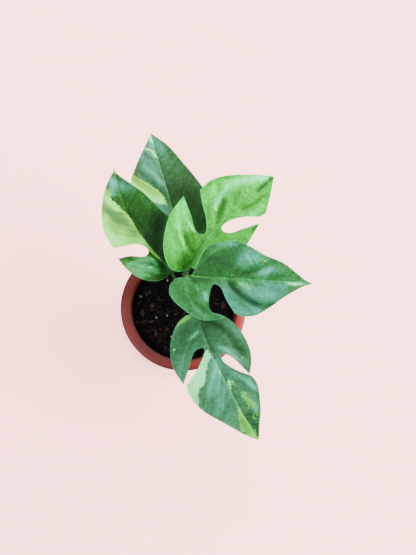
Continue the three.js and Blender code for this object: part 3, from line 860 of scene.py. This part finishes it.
        "heading": 48.2, "pitch": 8, "roll": 4, "length": 114, "droop": 8, "fold": 0.12,
        "cup": 2, "bow": 7, "leaves_stem": 37, "bearing": 132.4,
        "right": [
            [(3, -5), (9, -12), (19, -18.4), (32, -21.4), (46, -20), (63, -16.7)],
            [(50, -9.6), (41.6, -5), (38.6, 0), (41, 3.4), (50, 1), (60, -6.2), (66, -12.6),
             (72, -15)],
            [(82, -10), (91, -5), (100, 0)],
        ],
        "left": [
            [(-4, 1.2), (-9.4, 6), (-10, 14), (-3, 25), (9, 34), (22, 39.6), (37.7, 41.2)],
            [(31, 28), (24.4, 17), (24.6, 11.4), (29, 9.6), (36.8, 16.7), (43, 26), (50, 35)],
            [(61, 34.4), (73, 28), (88, 13.8), (100, 0)],
        ],
        "furrows": [
            ([(3, 2), (9, 8), (13, 16), (21, 27), (31, 38)], 1.0, 2.6),
            ([(-2, 2), (-4, 8), (-4, 16), (1, 25)], 0.5, 2.4),
            ([(34, 6), (43, 10), (53, 18), (62, 27)], 1.1, 2.6),
            ([(50, 4), (60, 9), (73, 14), (84, 15)], 0.9, 2.4),
            ([(60, 2), (70, -3), (84, -5)], 0.9, 2.2),
            ([(40, -3), (48, -10), (58, -15)], 0.6, 2.2),
            ([(80, 1.6), (90, 0.8), (100, 0)], 0.6, 1.6),
        ],
        "strokes": [
            ([(-5, 2), (0, 6), (4, 9)], 3.6, -0.62),
            ([(3, 2), (12, 4), (20, 6)], 2.6, -0.34),
            ([(11, 7), (12, 13), (15, 19)], 1.6, -0.42),
            ([(16, 12), (22, 16)], 3, -0.3),
            ([(24, 7), (32, 9)], 2.8, -0.28),
            ([(0, 14), (5, 24), (16, 33), (28, 37)], 6, 0.3),
            ([(9, 14), (14, 24), (20, 32)], 1.6, 0.2),
            ([(24, 26), (34, 37)], 4, 0.36),
            ([(48, 26), (60, 30)], 5, 0.2),
            ([(22.6, 17), (24.6, 22)], 1.2, 0.95),
            ([(20, 21), (22, 23.4)], 0.7, 0.7),
            ([(25, 23), (26, 26)], 0.7, 0.6),
            ([(11, 16), (13, 22), (18, 28)], 0.7, 0.45),
            ([(54, 18), (58, 21)], 0.8, 0.6),
            ([(73, 13), (75, 16)], 0.8, 0.4),
            ([(88, 9), (95, 3)], 1, 0.5),
            ([(16, 29), (17, 31)], 1, 0.5),
            ([(41, 9), (49, 12), (57, 15)], 2.4, -0.44),
            ([(48, 17), (56, 19.6), (64, 21)], 1.8, 0.62),
            ([(46, 27), (58, 28)], 3.4, 0.06),
            ([(62, 12), (70, 13), (76, 14)], 2.2, -0.12),
            ([(68, 22), (78, 17), (86, 11), (94, 5)], 4, 0.66),
            ([(82, 1.4), (90, 1.2), (97, 0.6)], 1.6, -0.62),
            ([(62, 1), (72, -3), (82, -4.4)], 1.2, -0.34),
            ([(64, -8), (74, -10)], 2.4, 0.34),
            ([(40, -12), (50, -14)], 3, -0.04),
            ([(54, -16.4), (62, -17)], 1.4, -0.4),
            ([(28, 0), (38, 2)], 4, -0.14),
        ],
        "cool": [([(50, 18), (60, 21), (68, 20)], 3, 0.4), ([(78, 16), (88, 10)], 5, 0.2),
                 ([(62, -8), (74, -10)], 3, 0.2)],
        "stains": [],
        "cream": [],
        "mint": [],
        "lime": [],
        "flecks": [(24, 20, 7), (66, 18, 12), (16, 30, 8)],
        "midrib": [(0, 0.2), (20, 0.5), (60, 0.6), (80, 0.3), (100, 0.1)],
        "even_to": -1,
        "greens": [(28, 78, 6), (40, 110, 16), (54, 168, 30), (66, 228, 58), (84, 255, 124)],
        "bright": (1.15, 1.05, 1.6),
    },
}
BLADE_THICKNESS = 0.55  # mm
EDGE_THICKNESS = 0.2  # mm
EDGE_TAPER = 2.5  # mm from the margin over which the blade thins
CREASE_SOFTNESS = 4  # mm to each side over which the blade bends along the midrib
MIDRIB_GROOVE = 0.5  # mm deep along the upper face
MIDRIB_RIDGE = 0.9  # mm proud along the underside, at the base
VEIN_SPACING = 7.5  # hundredths of the length
VEIN_SWELL = 0.12  # mm that the blade puffs up between its side veins
VEIN_CREASE = 0.05  # mm deep along each side vein
FURROW_BANK = 0.45  # rise beside a furrow, as a share of its depth
WAVE = 1.4  # mm that the whole blade waves up and down
WAVE_LENGTHS = (30, 22)  # mm along the midrib and across it
CURL = 0.35  # mm that the margin rises and falls
SLICE = 1.35  # mm between the lines of the blade's mesh
RUN_STEPS = 9  # straight steps drawn between two points of an outline
GREEN_STOPS = (0.04, 0.27, 0.5, 0.73, 0.96)


def midrib_at(leaf, x):
    return 4 * leaf["bow"] * (x / leaf["length"]) * (1 - x / leaf["length"])


def bell(value, width):
    return np.exp(-((value / width) ** 2))


def vein_phase(x, side):
    """Grows from vein to vein: side veins leave the midrib steeply and sweep towards the tip,
    and those of the basal lobes fan out from the base. In hundredths of the length."""
    lead = x - 0.35 * side - 0.025 * side ** 2
    return (np.maximum(lead, 0) + np.minimum(lead, 0) * 22 / (side + 6)) / VEIN_SPACING


def reach_of(path, x, y):
    """Distances of points from a path of straight steps."""
    nearest = np.full(len(x), 1e3)
    if len(path) == 1:
        path = path * 2
    for (ax, ay), (bx, by) in zip(path, path[1:]):
        span_x, span_y = bx - ax, by - ay
        share = ((x - ax) * span_x + (y - ay) * span_y) / max(span_x ** 2 + span_y ** 2, 1e-9)
        share = np.clip(share, 0, 1)
        nearest = np.minimum(nearest, np.hypot(x - ax - share * span_x, y - ay - share * span_y))
    return nearest


def depth_in(outlines, x, y):
    """How far inside the nearest outline each point lies; negative outside them all."""
    best = np.full(len(x), -30.0)
    for outline in outlines:
        closed = outline + outline[:1]
        inside = np.zeros(len(x), dtype=bool)
        for (ax, ay), (bx, by) in zip(closed, closed[1:]):
            if ay != by:
                crossing = (bx - ax) * (y - ay) / (by - ay) + ax
                inside ^= ((ay > y) != (by > y)) & (x < crossing)
        nearest = reach_of(closed, x, y)
        best = np.maximum(best, np.where(inside, nearest, -nearest))
    return best


def blade_height(leaf, x, offset, margin):
    """Heights of the blade's upper face in mm, at mm along the midrib and mm to its left."""
    length = leaf["length"]
    side = np.abs(offset)
    droop = leaf["droop"] * np.sign(x) * (x / length) ** 2
    fold = leaf["fold"] * (np.hypot(offset, CREASE_SOFTNESS) - CREASE_SOFTNESS)
    cup = leaf["cup"] * (offset / 30) ** 2
    away = np.clip(side / 8, 0, 1) * np.clip(margin / 6, 0.25, 1)
    phase = vein_phase(100 * x / length, 100 * side / length)
    nearest = (phase - np.round(phase)) * VEIN_SPACING * length / 100
    swell = away * (VEIN_SWELL * np.cos(math.tau * phase) - VEIN_CREASE * bell(nearest, 0.9))
    share_x = 100 * x / length
    share_y = 100 * (offset + midrib_at(leaf, x)) / length
    for path, depth, half_width in leaf["furrows"]:
        near = reach_of(path, share_x, share_y)
        swell -= depth * bell(near, half_width)
        swell += FURROW_BANK * depth * bell(near - 2.2 * half_width, 1.3 * half_width) * away
    groove = MIDRIB_GROOVE * bell(offset, 1.0)
    along, across = WAVE_LENGTHS
    wave = WAVE * np.clip(side / 18, 0, 1) * np.array([
        noise.noise(Vector((mm_x / along, mm_y / across, length)))
        for mm_x, mm_y in zip(x, offset)])
    curl = CURL * bell(margin, 2.2) * np.sin(x / 6.5 + offset / 8)
    return fold - droop - cup + swell - groove + wave + curl


def blade_turn(leaf):
    heading, pitch, roll = (math.radians(leaf[key]) for key in ("heading", "pitch", "roll"))
    turn = Matrix.Rotation(heading, 4, "Z") @ Matrix.Rotation(-pitch, 4, "Y")
    return turn @ Matrix.Rotation(roll, 4, "X")


def smooth_run(points):
    """Points on a smooth curve through the given ones, without the first."""
    drawn = []
    for index in range(len(points) - 1):
        before = points[max(index - 1, 0)]
        start, end = points[index], points[index + 1]
        after = points[min(index + 2, len(points) - 1)]
        leaving, arriving = (end - before) / 2, (after - start) / 2
        for step in range(1, RUN_STEPS + 1):
            share = step / RUN_STEPS
            square, cube = share ** 2, share ** 3
            drawn.append(start * (2 * cube - 3 * square + 1) + leaving * (cube - 2 * square + share)
                         + end * (3 * square - 2 * cube) + arriving * (cube - square))
    return drawn


def side_line(leaf, side):
    """One side of the outline in mm, from the base to the tip."""
    corner = Vector((0, 0))
    line = []
    for run in leaf[side]:
        points = [corner] + [Vector(point) * leaf["length"] / 100 for point in run]
        line += smooth_run(points)
        corner = points[-1]
    return line


def blade_outline(leaf):
    right = side_line(leaf, "right")
    left = side_line(leaf, "left")
    return [Vector((0, 0))] + right + left[-2::-1]


def blade_sheet(leaf):
    """The flat blade, cut to its outline and sliced into small faces that follow the midrib."""
    bm = bmesh.new()
    corners = [(point.x, point.y - midrib_at(leaf, point.x)) for point in blade_outline(leaf)]
    bm.faces.new([bm.verts.new((x, offset, 0)) for x, offset in corners])
    length = leaf["length"]
    along = [SLICE * step for step in range(-16, int(length / SLICE) + 1)]
    across = [0, 0.5, 1.1, 1.9, 3] + [3 + SLICE * step for step in range(1, 36)]
    cuts = [((x + 0.013, 0, 0), (1, 0, 0)) for x in along]
    cuts += [((0, side * offset + 0.011, 0), (0, 1, 0)) for side in (1, -1) for offset in across]
    for point, normal in cuts:
        everything = bm.verts[:] + bm.edges[:] + bm.faces[:]
        bmesh.ops.bisect_plane(bm, geom=everything, plane_co=point, plane_no=normal, dist=1e-4)
    bmesh.ops.remove_doubles(bm, verts=bm.verts, dist=0.02)
    bmesh.ops.triangulate(bm, faces=[face for face in bm.faces if len(face.verts) > 4])
    return bm


def brushed(paths, x, y):
    """The summed strength of soft strokes, each given as (path, half width, strength)."""
    strength = np.zeros(len(x))
    for path, half_width, weight in paths:
        strength += weight * bell(reach_of(path, x, y), half_width)
    return strength


def make_blade(leaf):
    """The solid blade in mm on its own axes, with its map and its painted layers filled in."""
    bm = blade_sheet(leaf)
    length = leaf["length"]
    sheet = bm.verts[:] + bm.edges[:] + bm.faces[:]
    grown = bmesh.ops.extrude_face_region(bm, geom=sheet, use_keep_orig=True)
    upper = {item for item in grown["geom"] if isinstance(item, bmesh.types.BMVert)}
    bmesh.ops.recalc_face_normals(bm, faces=bm.faces)
    x = np.array([vert.co.x for vert in bm.verts])
    offset = np.array([vert.co.y for vert in bm.verts])
    share_x = 100 * x / length
    share_y = 100 * (offset + midrib_at(leaf, x)) / length
    rim = [(point.x, point.y) for point in blade_outline(leaf)]
    margin = reach_of(rim + rim[:1], x, offset + midrib_at(leaf, x))
    furrows = [(path, half_width / 2, depth) for path, depth, half_width in leaf["furrows"]]
    flecks = [([(fleck_x, fleck_y)], reach, 1) for fleck_x, fleck_y, reach in leaf["flecks"]]
    layers = {
        "vein": vein_phase(share_x, np.abs(100 * offset / length)),
        "margin": margin,
        "tone": brushed(leaf["strokes"], share_x, share_y),
        "cool": brushed(leaf["cool"], share_x, share_y),
        "stain": brushed(leaf["stains"], share_x, share_y),
        "furrow": brushed(furrows, share_x, share_y),
        "fleck": brushed(flecks, share_x, share_y),
    }
    for sector in ("cream", "mint", "lime"):
        layers[sector] = depth_in(leaf[sector], share_x, share_y)
    for name, values in layers.items():
        layer = bm.verts.layers.float.new(name)
        for vert, value in zip(bm.verts, values):
            vert[layer] = value
    map_layer = bm.loops.layers.uv.new("blade")
    for face in bm.faces:
        for loop in face.loops:
            loop[map_layer].uv = (loop.vert.co.x / length, loop.vert.co.y / length)
    heights = blade_height(leaf, x, offset, margin)
    fullness = np.clip(margin / EDGE_TAPER, 0, 1)
    half = (EDGE_THICKNESS + (BLADE_THICKNESS - EDGE_THICKNESS) * fullness) / 2
    rib = MIDRIB_RIDGE * bell(offset, 1.1) * np.clip(1 - 0.7 * x / length, 0, 1)
    rib *= np.clip(margin / 2, 0, 1)
    for index, vert in enumerate(list(bm.verts)):
        lift = half[index] if vert in upper else -half[index] - rib[index]
        vert.co = (x[index], offset[index] + midrib_at(leaf, x[index]), heights[index] + lift)
    return bm


def leaf_place(leaf, node, bm):
    """The matrix that turns the blade and sets its box on the middle of the node's box."""
    turn = Matrix.Scale(MM, 4) @ blade_turn(leaf)
    spots = [turn @ vert.co for vert in bm.verts]
    low = Vector([min(spot[axis] for spot in spots) for axis in range(3)])
    high = Vector([max(spot[axis] for spot in spots) for axis in range(3)])
    node_low, node_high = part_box(node)
    return Matrix.Translation((node_low + node_high - low - high) / 2) @ turn


def blade_material(name, leaf):
    material, root, surface = new_material("blade_" + name)
    x, offset, _ = split(root, root.node("UVMap", {"uv_map": "blade"}, {}))
    place = object_place(root)

    def painted(layer):
        return root.node("Attribute", {"attribute_name": layer}, {}, "Fac")

    side = abs(offset) * 100
    # Real deeper and brighter green, with painted shade and painted highlights, small glints among
    # them.
    tone = painted("tone")
    vein = painted("vein")
    margin = painted("margin")
    away = side.rise(0.8, 4)
    to_vein = abs(vein - root.math("ROUND", vein))
    fine_vein = vein * 5
    to_fine = abs(fine_vein - root.math("ROUND", fine_vein))
    veins = to_vein.rise(0.09, 0.01) * away
    fine_veins = to_fine.rise(0.3, 0.1) * away

    # The green is streaked along the veins, clouded and finely mottled; the finest mottle is partly
    # a painted pebbled sheen.
    streak_place = root.node("CombineXYZ", {}, {0: vein * 2.4, 1: side * 0.06, 2: x + 3 * offset})
    streak = root.grain(streak_place, 1.0, 3, 0.6)
    fine_streak = root.grain(streak_place, 5.0, 4, 0.7)
    cloud = root.grain(place, 42, 3)
    mottle = root.grain(place, 330, 3, 0.65)
    pores_and_painted_sheen = root.grain(place, 820, 3, 0.6)
    cells = root.grain(place, 1700, 2, 0.6)
    # Painted shade: the green is a little darker along the furrows.
    level = (0.5 + 0.4 * (streak - 0.5) + 0.22 * (fine_streak - 0.5) + 0.34 * (cloud - 0.5)
             + 0.5 * (mottle - 0.5) + 0.54 * (pores_and_painted_sheen - 0.5) + 0.62 * tone - 0.05 * painted("furrow"))
    greens = [linear(*colour) for colour in leaf["greens"]]
    green = root.node("ValToRGB", {"stops": list(zip(GREEN_STOPS, greens))}, {"Fac": level})
    # Painted sheen: a bluish teal painted where the sky is reflected in the gloss.
    painted_sheen_teal = root.mix(level.rise(0.2, 0.9), linear(32, 90, 66), linear(66, 172, 152))
    green = root.mix(painted("cool").rise(0, 1) * 0.85, green, painted_sheen_teal)
    green = root.mix(fine_veins * 0.02, green, greens[4])
    green = root.mix(veins * 0.14 * mottle, green, greens[4])

    # Pale sectors, ragged along the veins except near the base of some leaves, with green and
    # grey stains in them. The tint runs from clean tissue at 0 to the darkest stain.
    jag_place = root.node("CombineXYZ", {}, {0: vein * 5, 1: side * 0.14, 2: offset * 30})
    jag = root.grain(jag_place, 1.0, 4, 0.7)
    fray = root.grain(place, 620, 3, 0.6)
    breaks_up = 0.22 + 0.78 * x.rise(leaf["even_to"], leaf["even_to"] + 0.12)
    ragged = (4.6 * (jag - 0.5) + 3.2 * (fray - 0.5)) * breaks_up

    tint = (painted("stain") * (0.5 + streak) + 0.5 * (streak - 0.5)
            + 0.4 * (fine_streak - 0.5) + 0.3 * (mottle - 0.5))
    sectors = {
        "lime": (0.3, [(0.0, linear(96, 226, 84)), (0.4, linear(84, 184, 56)),
                       (0.9, linear(58, 124, 44))]),
        "mint": (0.2, [(0.0, linear(120, 255, 160)), (0.4, linear(110, 250, 132)),
                       (0.9, linear(62, 168, 82))]),
        "cream": (0.22, [(0.0, linear(140, 250, 120)), (0.25, linear(126, 232, 84)),
                         (0.55, linear(118, 190, 60)), (0.9, linear(78, 130, 62))]),
    }
    for layer, (clean_tint, stops) in sectors.items():
        tissue = root.node("ValToRGB", {"stops": stops}, {"Fac": tint + clean_tint})
        green = root.mix((painted(layer) + ragged).rise(-0.3, 0.3), green, tissue)

    # Pale specks, thickest where the leaf is sprinkled with them, and a thin pale margin that is
    # partly a painted highlight along the edge.
    speck_cells = root.node("TexVoronoi", {"feature": "F1"}, {"Vector": place, "Scale": 480},
                            "Distance")
    speck_field = root.grain(place, 210, 2, 0.5) + 0.14 * painted("fleck")
    specks = speck_cells.rise(0.3, 0.12) * speck_field.rise(0.68, 0.78)
    green = root.mix(specks * 0.65, green, linear(110, 220, 96))
    green = root.mix(margin.rise(0.55, 0.1) * 0.6, green, greens[4])
    rib_width = 1.1 - 0.8 * x
    pale_stops = [(along / 100, (light, light, light, 1)) for along, light in leaf["midrib"]]
    paleness = root.node("ValToRGB", {"stops": pale_stops}, {"Fac": x})
    rib = (side / rib_width).rise(1.1, 0.5) * paleness
    green = root.mix(rib * (0.5 + 0.5 * fine_streak), green, linear(84, 188, 98))

    # Each leaf has its own share of light and yellow in its tissue.
    green = root.node("VectorMath", {"operation": "MULTIPLY"}, {0: green, 1: leaf["bright"]},
                      "Vector")

    # The underside is paler and duller.
    facing = split(root, root.node("NewGeometry", {}, {}, "Normal"))[2].rise(0.1, -0.1)
    green = root.mix(facing * 0.55, green, linear(74, 146, 44))
    along_rib = (side / rib_width).rise(1.8, 0.7)
    skin = 0.27 + 0.16 * mottle + 0.12 * cloud + 0.1 * veins + 0.2 * facing + 0.24 * along_rib
    height = cells * 0.25 + mottle * 0.45 - fine_veins * 0.1 - veins * 0.25
    set_surface(root, surface, {
        "Base Color": green,
        "Roughness": skin,
        "Normal": root.bump(height, 0.16 * MM, 0.7),
        "Specular IOR Level": 0.3,
        "Subsurface Weight": 0.05,
        "Subsurface Radius": (0.3, 0.9, 0.2),
        "Subsurface Scale": 1 * MM,
    })
    return material


blade_bases = {}
for name, leaf in LEAVES.items():
    node = "leaf_" + name
    blade_bm = make_blade(leaf)
    place = leaf_place(leaf, node, blade_bm)
    bmesh.ops.transform(blade_bm, matrix=place, verts=blade_bm.verts)
    blade = as_object(node + "_blade", blade_bm, blade_material(name, leaf))
    blade_bases[name] = place.translation.copy()
    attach(blade, "root")
    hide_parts(node)


# ---------------------------------------------------------------- stem
# A short, stout climbing stem, green and rooted in the soil, and browner and woody near it. It
# swells at each node where a leaf grows, over a narrow ring-shaped scar.

STEM_RADIUS = 3.4  # mm, as all sizes of the stem
STEM_THINNING = 0.2  # share of the radius lost towards the top
STEM_NODE_SWELL = 0.5
STEM_NODE_REACH = 1.6
STEM_SCAR_DEPTH = 0.25
STEM_SCAR_DROP = 2.6  # below the node
STEM_RISE = 37
STEM_STEPS = 90
STEM_SIDES = 28
stem_low, stem_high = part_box("stem")
foot_radius = STEM_RADIUS * MM
top_radius = STEM_RADIUS * (1 - STEM_THINNING) * MM
stem_foot = Vector((stem_low.x + foot_radius, stem_low.y + foot_radius, stem_low.z))
stem_top = Vector((stem_high.x - top_radius, stem_high.y - top_radius, stem_high.z))


def stem_axis(height):
    """The middle of the stem at mm above the soil level."""
    share = (soil_level + height * MM - stem_foot.z) / (stem_top.z - stem_foot.z)
    return stem_foot.lerp(stem_top, share)


def swept(path, radii, sides):
    """A closed bmesh rod along a path, with a map that runs around it and along it."""
    bm = bmesh.new()
    aim = (path[1] - path[0]).normalized()
    across = aim.orthogonal().normalized()
    made = bmesh.ops.create_circle(bm, cap_ends=False, radius=1, segments=sides)
    ring = made["verts"]
    map_layer = bm.loops.layers.uv.new("along")
    turns = {vert: index for index, vert in enumerate(ring)}
    steps = {vert: 0 for vert in ring}
    edges = list({edge for vert in ring for edge in vert.link_edges})
    for step in range(1, len(path)):
        grown = bmesh.ops.extrude_edge_only(bm, edges=edges)
        edges = [item for item in grown["geom"] if isinstance(item, bmesh.types.BMEdge)
                 and all(vert not in turns for vert in item.verts)]
        fresh = [item for item in grown["geom"] if isinstance(item, bmesh.types.BMVert)]
        older = {vert.co.copy().freeze(): index for vert, index in turns.items()
                 if steps[vert] == step - 1}
        for vert in fresh:
            turns[vert] = older[vert.co.copy().freeze()]
            steps[vert] = step
    for vert, step in steps.items():
        before = path[max(step - 1, 0)]
        after = path[min(step + 1, len(path) - 1)]
        tangent = (after - before).normalized()
        first = (across - tangent * across.dot(tangent)).normalized()
        second = tangent.cross(first)
        angle = math.tau * turns[vert] / sides
        vert.co = path[step] + (first * math.cos(angle) + second * math.sin(angle)) * radii[step]
    for face in bm.faces:
        wraps = {turns[vert] for vert in face.verts} == {0, sides - 1}
        for loop in face.loops:
            turn = sides if wraps and turns[loop.vert] == 0 else turns[loop.vert]
            loop[map_layer].uv = (turn / sides, steps[loop.vert] / (len(path) - 1))
    bmesh.ops.holes_fill(bm, edges=[edge for edge in bm.edges if edge.is_boundary], sides=sides)
    bmesh.ops.recalc_face_normals(bm, faces=bm.faces)
    return bm


def make_stem():
    buried = (stem_foot.z - soil_level) / MM
    climb = STEM_RISE - buried
    heights = [buried + climb * step / STEM_STEPS for step in range(STEM_STEPS + 1)]
    path = [stem_axis(height) for height in heights]
    nodes = [leaf["leaves_stem"] for leaf in LEAVES.values()]
    radii = []
    for step, height in enumerate(heights):
        swell = max(STEM_NODE_SWELL * bell(height - node, STEM_NODE_REACH) for node in nodes)
        scar = max(STEM_SCAR_DEPTH * bell(height - node + STEM_SCAR_DROP, 0.5) for node in nodes)
        dome = min(1.0, math.sqrt(max(0.02, (STEM_STEPS - step) / 3)))
        thinned = STEM_RADIUS * (1 - STEM_THINNING * step / STEM_STEPS)
        radii.append((thinned + swell - scar) * dome * MM)
    bm = swept(path, radii, STEM_SIDES)
    for vert in bm.verts:
        vert.co += vert.normal * noise.noise(vert.co * 400) * 0.25 * MM
    return bm


def stem_material():
    material, root, surface = new_material("stem_skin")
    place = object_place(root)
    z = split(root, place)[2]
    cloud = root.grain(place, 160, 3)
    grain_place = root.node("Mapping", {}, {"Vector": place, "Scale": (1, 1, 0.15)})
    fibre_lines = root.grain(grain_place, 1500, 3, 0.6)
    green = root.mix(cloud.rise(0.35, 0.65), linear(28, 60, 18), linear(50, 92, 32))
    green = root.mix(fibre_lines.rise(0.55, 0.7) * 0.4, green, linear(82, 110, 50))
    woody = z.rise(soil_level + 14 * MM, soil_level) * (0.4 + cloud)
    green = root.mix(woody * 0.8, green, linear(54, 36, 20))
    set_surface(root, surface, {
        "Base Color": green,
        "Roughness": 0.45 + 0.3 * cloud,
        "Normal": root.bump(fibre_lines * 0.6 + cloud * 0.4, 0.3 * MM, 0.6),
    })
    return material


stem = as_object("stem_skin", make_stem(), stem_material())
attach(stem, "root")
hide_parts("stem")


# ---------------------------------------------------------------- leaf stalks
# One stalk to each blade: it is thickest, and browner, at its foot on the stem, thins as it climbs,
# and thickens again into a knee just under the blade, which turns the blade to the light.

STALK_FOOT_RADIUS = 2.1  # mm, as all sizes of the stalks
STALK_TIP_RADIUS = 1.35
KNEE_SWELL = 0.4
KNEE_PLACE = 0.93  # share of the way up the stalk
STALK_STEPS = 64
STALK_SIDES = 20
UNDER_BLADE = (1.2, 2.6, 4.2, 6.0, 8.0)  # distances along the midrib of the stalk's last steps


def bearing(degrees):
    angle = math.radians(degrees)
    return Vector((math.cos(angle), math.sin(angle), 0))


def stalk_path(leaf, end):
    start = stem_axis(leaf["leaves_stem"] - 1)
    span = (end - start).length
    leaving = start + (bearing(leaf["bearing"]) * 0.8 + Vector((0, 0, 0.6))) * span * 0.3
    arriving = end - (bearing(leaf["heading"]) * 0.35 + Vector((0, 0, 0.94))) * span * 0.4
    path = []
    for step in range(STALK_STEPS + 1):
        share = step / STALK_STEPS
        rest = 1 - share
        path.append(start * rest ** 3 + leaving * 3 * rest ** 2 * share
                    + arriving * 3 * rest * share ** 2 + end * share ** 3)
    return path


def make_stalk(leaf, end):
    path = stalk_path(leaf, end)
    # The last stretch runs on into the midrib under the blade.
    turn = blade_turn(leaf).to_3x3()
    well_inside = np.full(1, 9.0)
    for x in UNDER_BLADE:
        face = float(blade_height(leaf, np.array([x]), np.zeros(1), well_inside)[0])
        path.append(end + turn @ Vector((x, midrib_at(leaf, x), face - 0.5 - 0.08 * x)) * MM)
    radii = []
    for step in range(len(path)):
        share = min(1.0, step / STALK_STEPS)
        radius = STALK_FOOT_RADIUS + (STALK_TIP_RADIUS - STALK_FOOT_RADIUS) * math.sqrt(share)
        radius += KNEE_SWELL * bell(share - KNEE_PLACE, 0.05)
        if step > STALK_STEPS:
            radius *= 0.92 - 0.16 * (step - STALK_STEPS)
        radii.append(max(radius, 0.12) * MM)
    return swept(path, radii, STALK_SIDES)


def stalk_material():
    material, root, surface = new_material("stalk_skin")
    around, upward, _ = split(root, root.node("UVMap", {"uv_map": "along"}, {}))
    cloud = root.grain(object_place(root), 90, 3)
    line_place = root.node("CombineXYZ", {}, {0: around * 26, 1: upward * 2, 2: 0.5})
    lines = root.grain(line_place, 1.0, 3, 0.6)
    green = root.mix(cloud.rise(0.35, 0.65), linear(30, 78, 22), linear(52, 112, 40))
    green = root.mix(lines.rise(0.54, 0.68) * 0.5, green, linear(84, 138, 62))
    foot = upward.rise(0.16, 0.02) * (0.3 + cloud)
    green = root.mix(foot * 0.7, green, linear(58, 44, 24))
    knee = upward.rise(0.84, 0.9) * upward.rise(1.0, 0.95)
    green = root.mix(knee * 0.5, green, linear(40, 74, 20))
    set_surface(root, surface, {
        "Base Color": green,
        "Roughness": 0.42 + 0.2 * cloud,
        "Normal": root.bump(lines * 0.7 + cloud * 0.3, 0.2 * MM, 0.5),
        "Subsurface Weight": 0.1,
        "Subsurface Radius": (0.4, 0.9, 0.2),
        "Subsurface Scale": 1 * MM,
    })
    return material


stalk_skin = stalk_material()
for name, leaf in LEAVES.items():
    node = "petiole_" + name
    stalk = as_object(node + "_skin", make_stalk(leaf, blade_bases[name]), stalk_skin)
    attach(stalk, "root")
    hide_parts(node)


# ---------------------------------------------------------------- floor, light and camera
# A plain pale floor that sweeps up into a wall all round, throws no light on the plant and has a
# painted soft shadow round the pot's foot; large soft lights from the right, the back and the left,
# and a camera that looks down from in front.

FLOOR_RADIUS = 4.5
SWEEP_RADIUS = 1.5
SWEEP_STEPS = 12
WALL_HEIGHT = 5
FLOOR_STEPS = 64
PLANT_MIDDLE = Vector((0, 0, 0.12))
KEY_PLACE = Vector((1.0, 0.2, 0.95))
SKY_PLACE = Vector((-0.15, 0.85, 0.95))
FILL_PLACE = Vector((-0.8, -0.5, 0.9))
NEUTRAL_LIGHT = (0.98, 0.99, 1.0)
SKY_LIGHT = (0.84, 0.94, 1.0)
CAMERA_PLACE = Vector((-0.040, -0.100, 0.705))
CAMERA_TARGET = Vector((0.0239, 0.0303, 0.105))
LENS = 39.8  # mm, on a sensor 36 mm along the frame's longer side
SENSOR = 36


def floor_profile():
    profile = [(0, 0), (FLOOR_RADIUS, 0)]
    for step in range(1, SWEEP_STEPS + 1):
        angle = math.pi / 2 * step / SWEEP_STEPS
        profile.append((FLOOR_RADIUS + SWEEP_RADIUS * math.sin(angle),
                        SWEEP_RADIUS * (1 - math.cos(angle))))
    return profile + [(FLOOR_RADIUS + SWEEP_RADIUS, WALL_HEIGHT)]


floor_material, floor_root, floor_surface = new_material("pale_floor")
floor_x, floor_y, _ = split(floor_root, object_place(floor_root))
floor_distance = floor_root.math("SQRT", floor_x * floor_x + floor_y * floor_y)
# Painted shadow: the floor's glow is painted darker round the pot's foot.
outside_painted_shadow = floor_distance.rise(BASE_RADIUS - 8 * MM, BASE_RADIUS + 40 * MM)
floor_glow_and_painted_shadow = floor_root.mix(outside_painted_shadow, linear(186, 118, 112), linear(255, 166, 160))
set_surface(floor_root, floor_surface, {
    "Base Color": linear(196, 158, 152),
    "Roughness": 0.9,
    "Specular IOR Level": 0.05,
    "Emission Color": floor_glow_and_painted_shadow,
    "Emission Strength": 4.1,
})
floor_bm = turned(floor_profile(), FLOOR_STEPS)
upside_down = [face for face in floor_bm.faces if face.normal.z < -0.001]
bmesh.ops.reverse_faces(floor_bm, faces=upside_down)
floor = as_object("floor", floor_bm, floor_material)
floor.visible_diffuse = False
floor.visible_glossy = False
floor.visible_shadow = False


def soft_light(name, place, size, power, colour, glints=True):
    """A round area light in watts, turned to the plant; without glints it leaves no shine."""
    data = bpy.data.lights.new(name, "AREA")
    data.shape = "DISK"
    data.size = size
    data.energy = power
    data.color = colour
    lamp = bpy.data.objects.new(name, data)
    lamp.location = place
    lamp.rotation_euler = (PLANT_MIDDLE - place).to_track_quat("-Z", "Y").to_euler()
    lamp.visible_glossy = glints
    bpy.context.scene.collection.objects.link(lamp)


# The key and the sky are each two lights in one place, and only the weaker one shines in the
# glossy leaves and the rim.
soft_light("key_light", KEY_PLACE, 1.2, 24, NEUTRAL_LIGHT)
soft_light("key_haze", KEY_PLACE, 1.2, 60, NEUTRAL_LIGHT, glints=False)
soft_light("sky_light", SKY_PLACE, 0.9, 12, SKY_LIGHT)
soft_light("sky_haze", SKY_PLACE, 0.9, 19, SKY_LIGHT, glints=False)
soft_light("fill_light", FILL_PLACE, 1.2, 12, NEUTRAL_LIGHT)
world = bpy.data.worlds.new("soft_room")
world.use_nodes = True
world.node_tree.nodes["Background"].inputs["Color"].default_value = (0.95, 0.97, 1.0, 1)
world.node_tree.nodes["Background"].inputs["Strength"].default_value = 0.55
bpy.context.scene.world = world

camera_data = bpy.data.cameras.new("camera")
camera_data.lens = LENS
camera_data.sensor_width = SENSOR
camera = bpy.data.objects.new("camera", camera_data)
camera.location = CAMERA_PLACE
camera_aim = (CAMERA_TARGET - CAMERA_PLACE).normalized()
camera_right = camera_aim.cross(Vector((0, 1, 0))).normalized()
camera_up = camera_right.cross(camera_aim)
camera.rotation_euler = Matrix((camera_right, camera_up, -camera_aim)).transposed().to_euler()
bpy.context.scene.collection.objects.link(camera)
bpy.context.scene.camera = camera
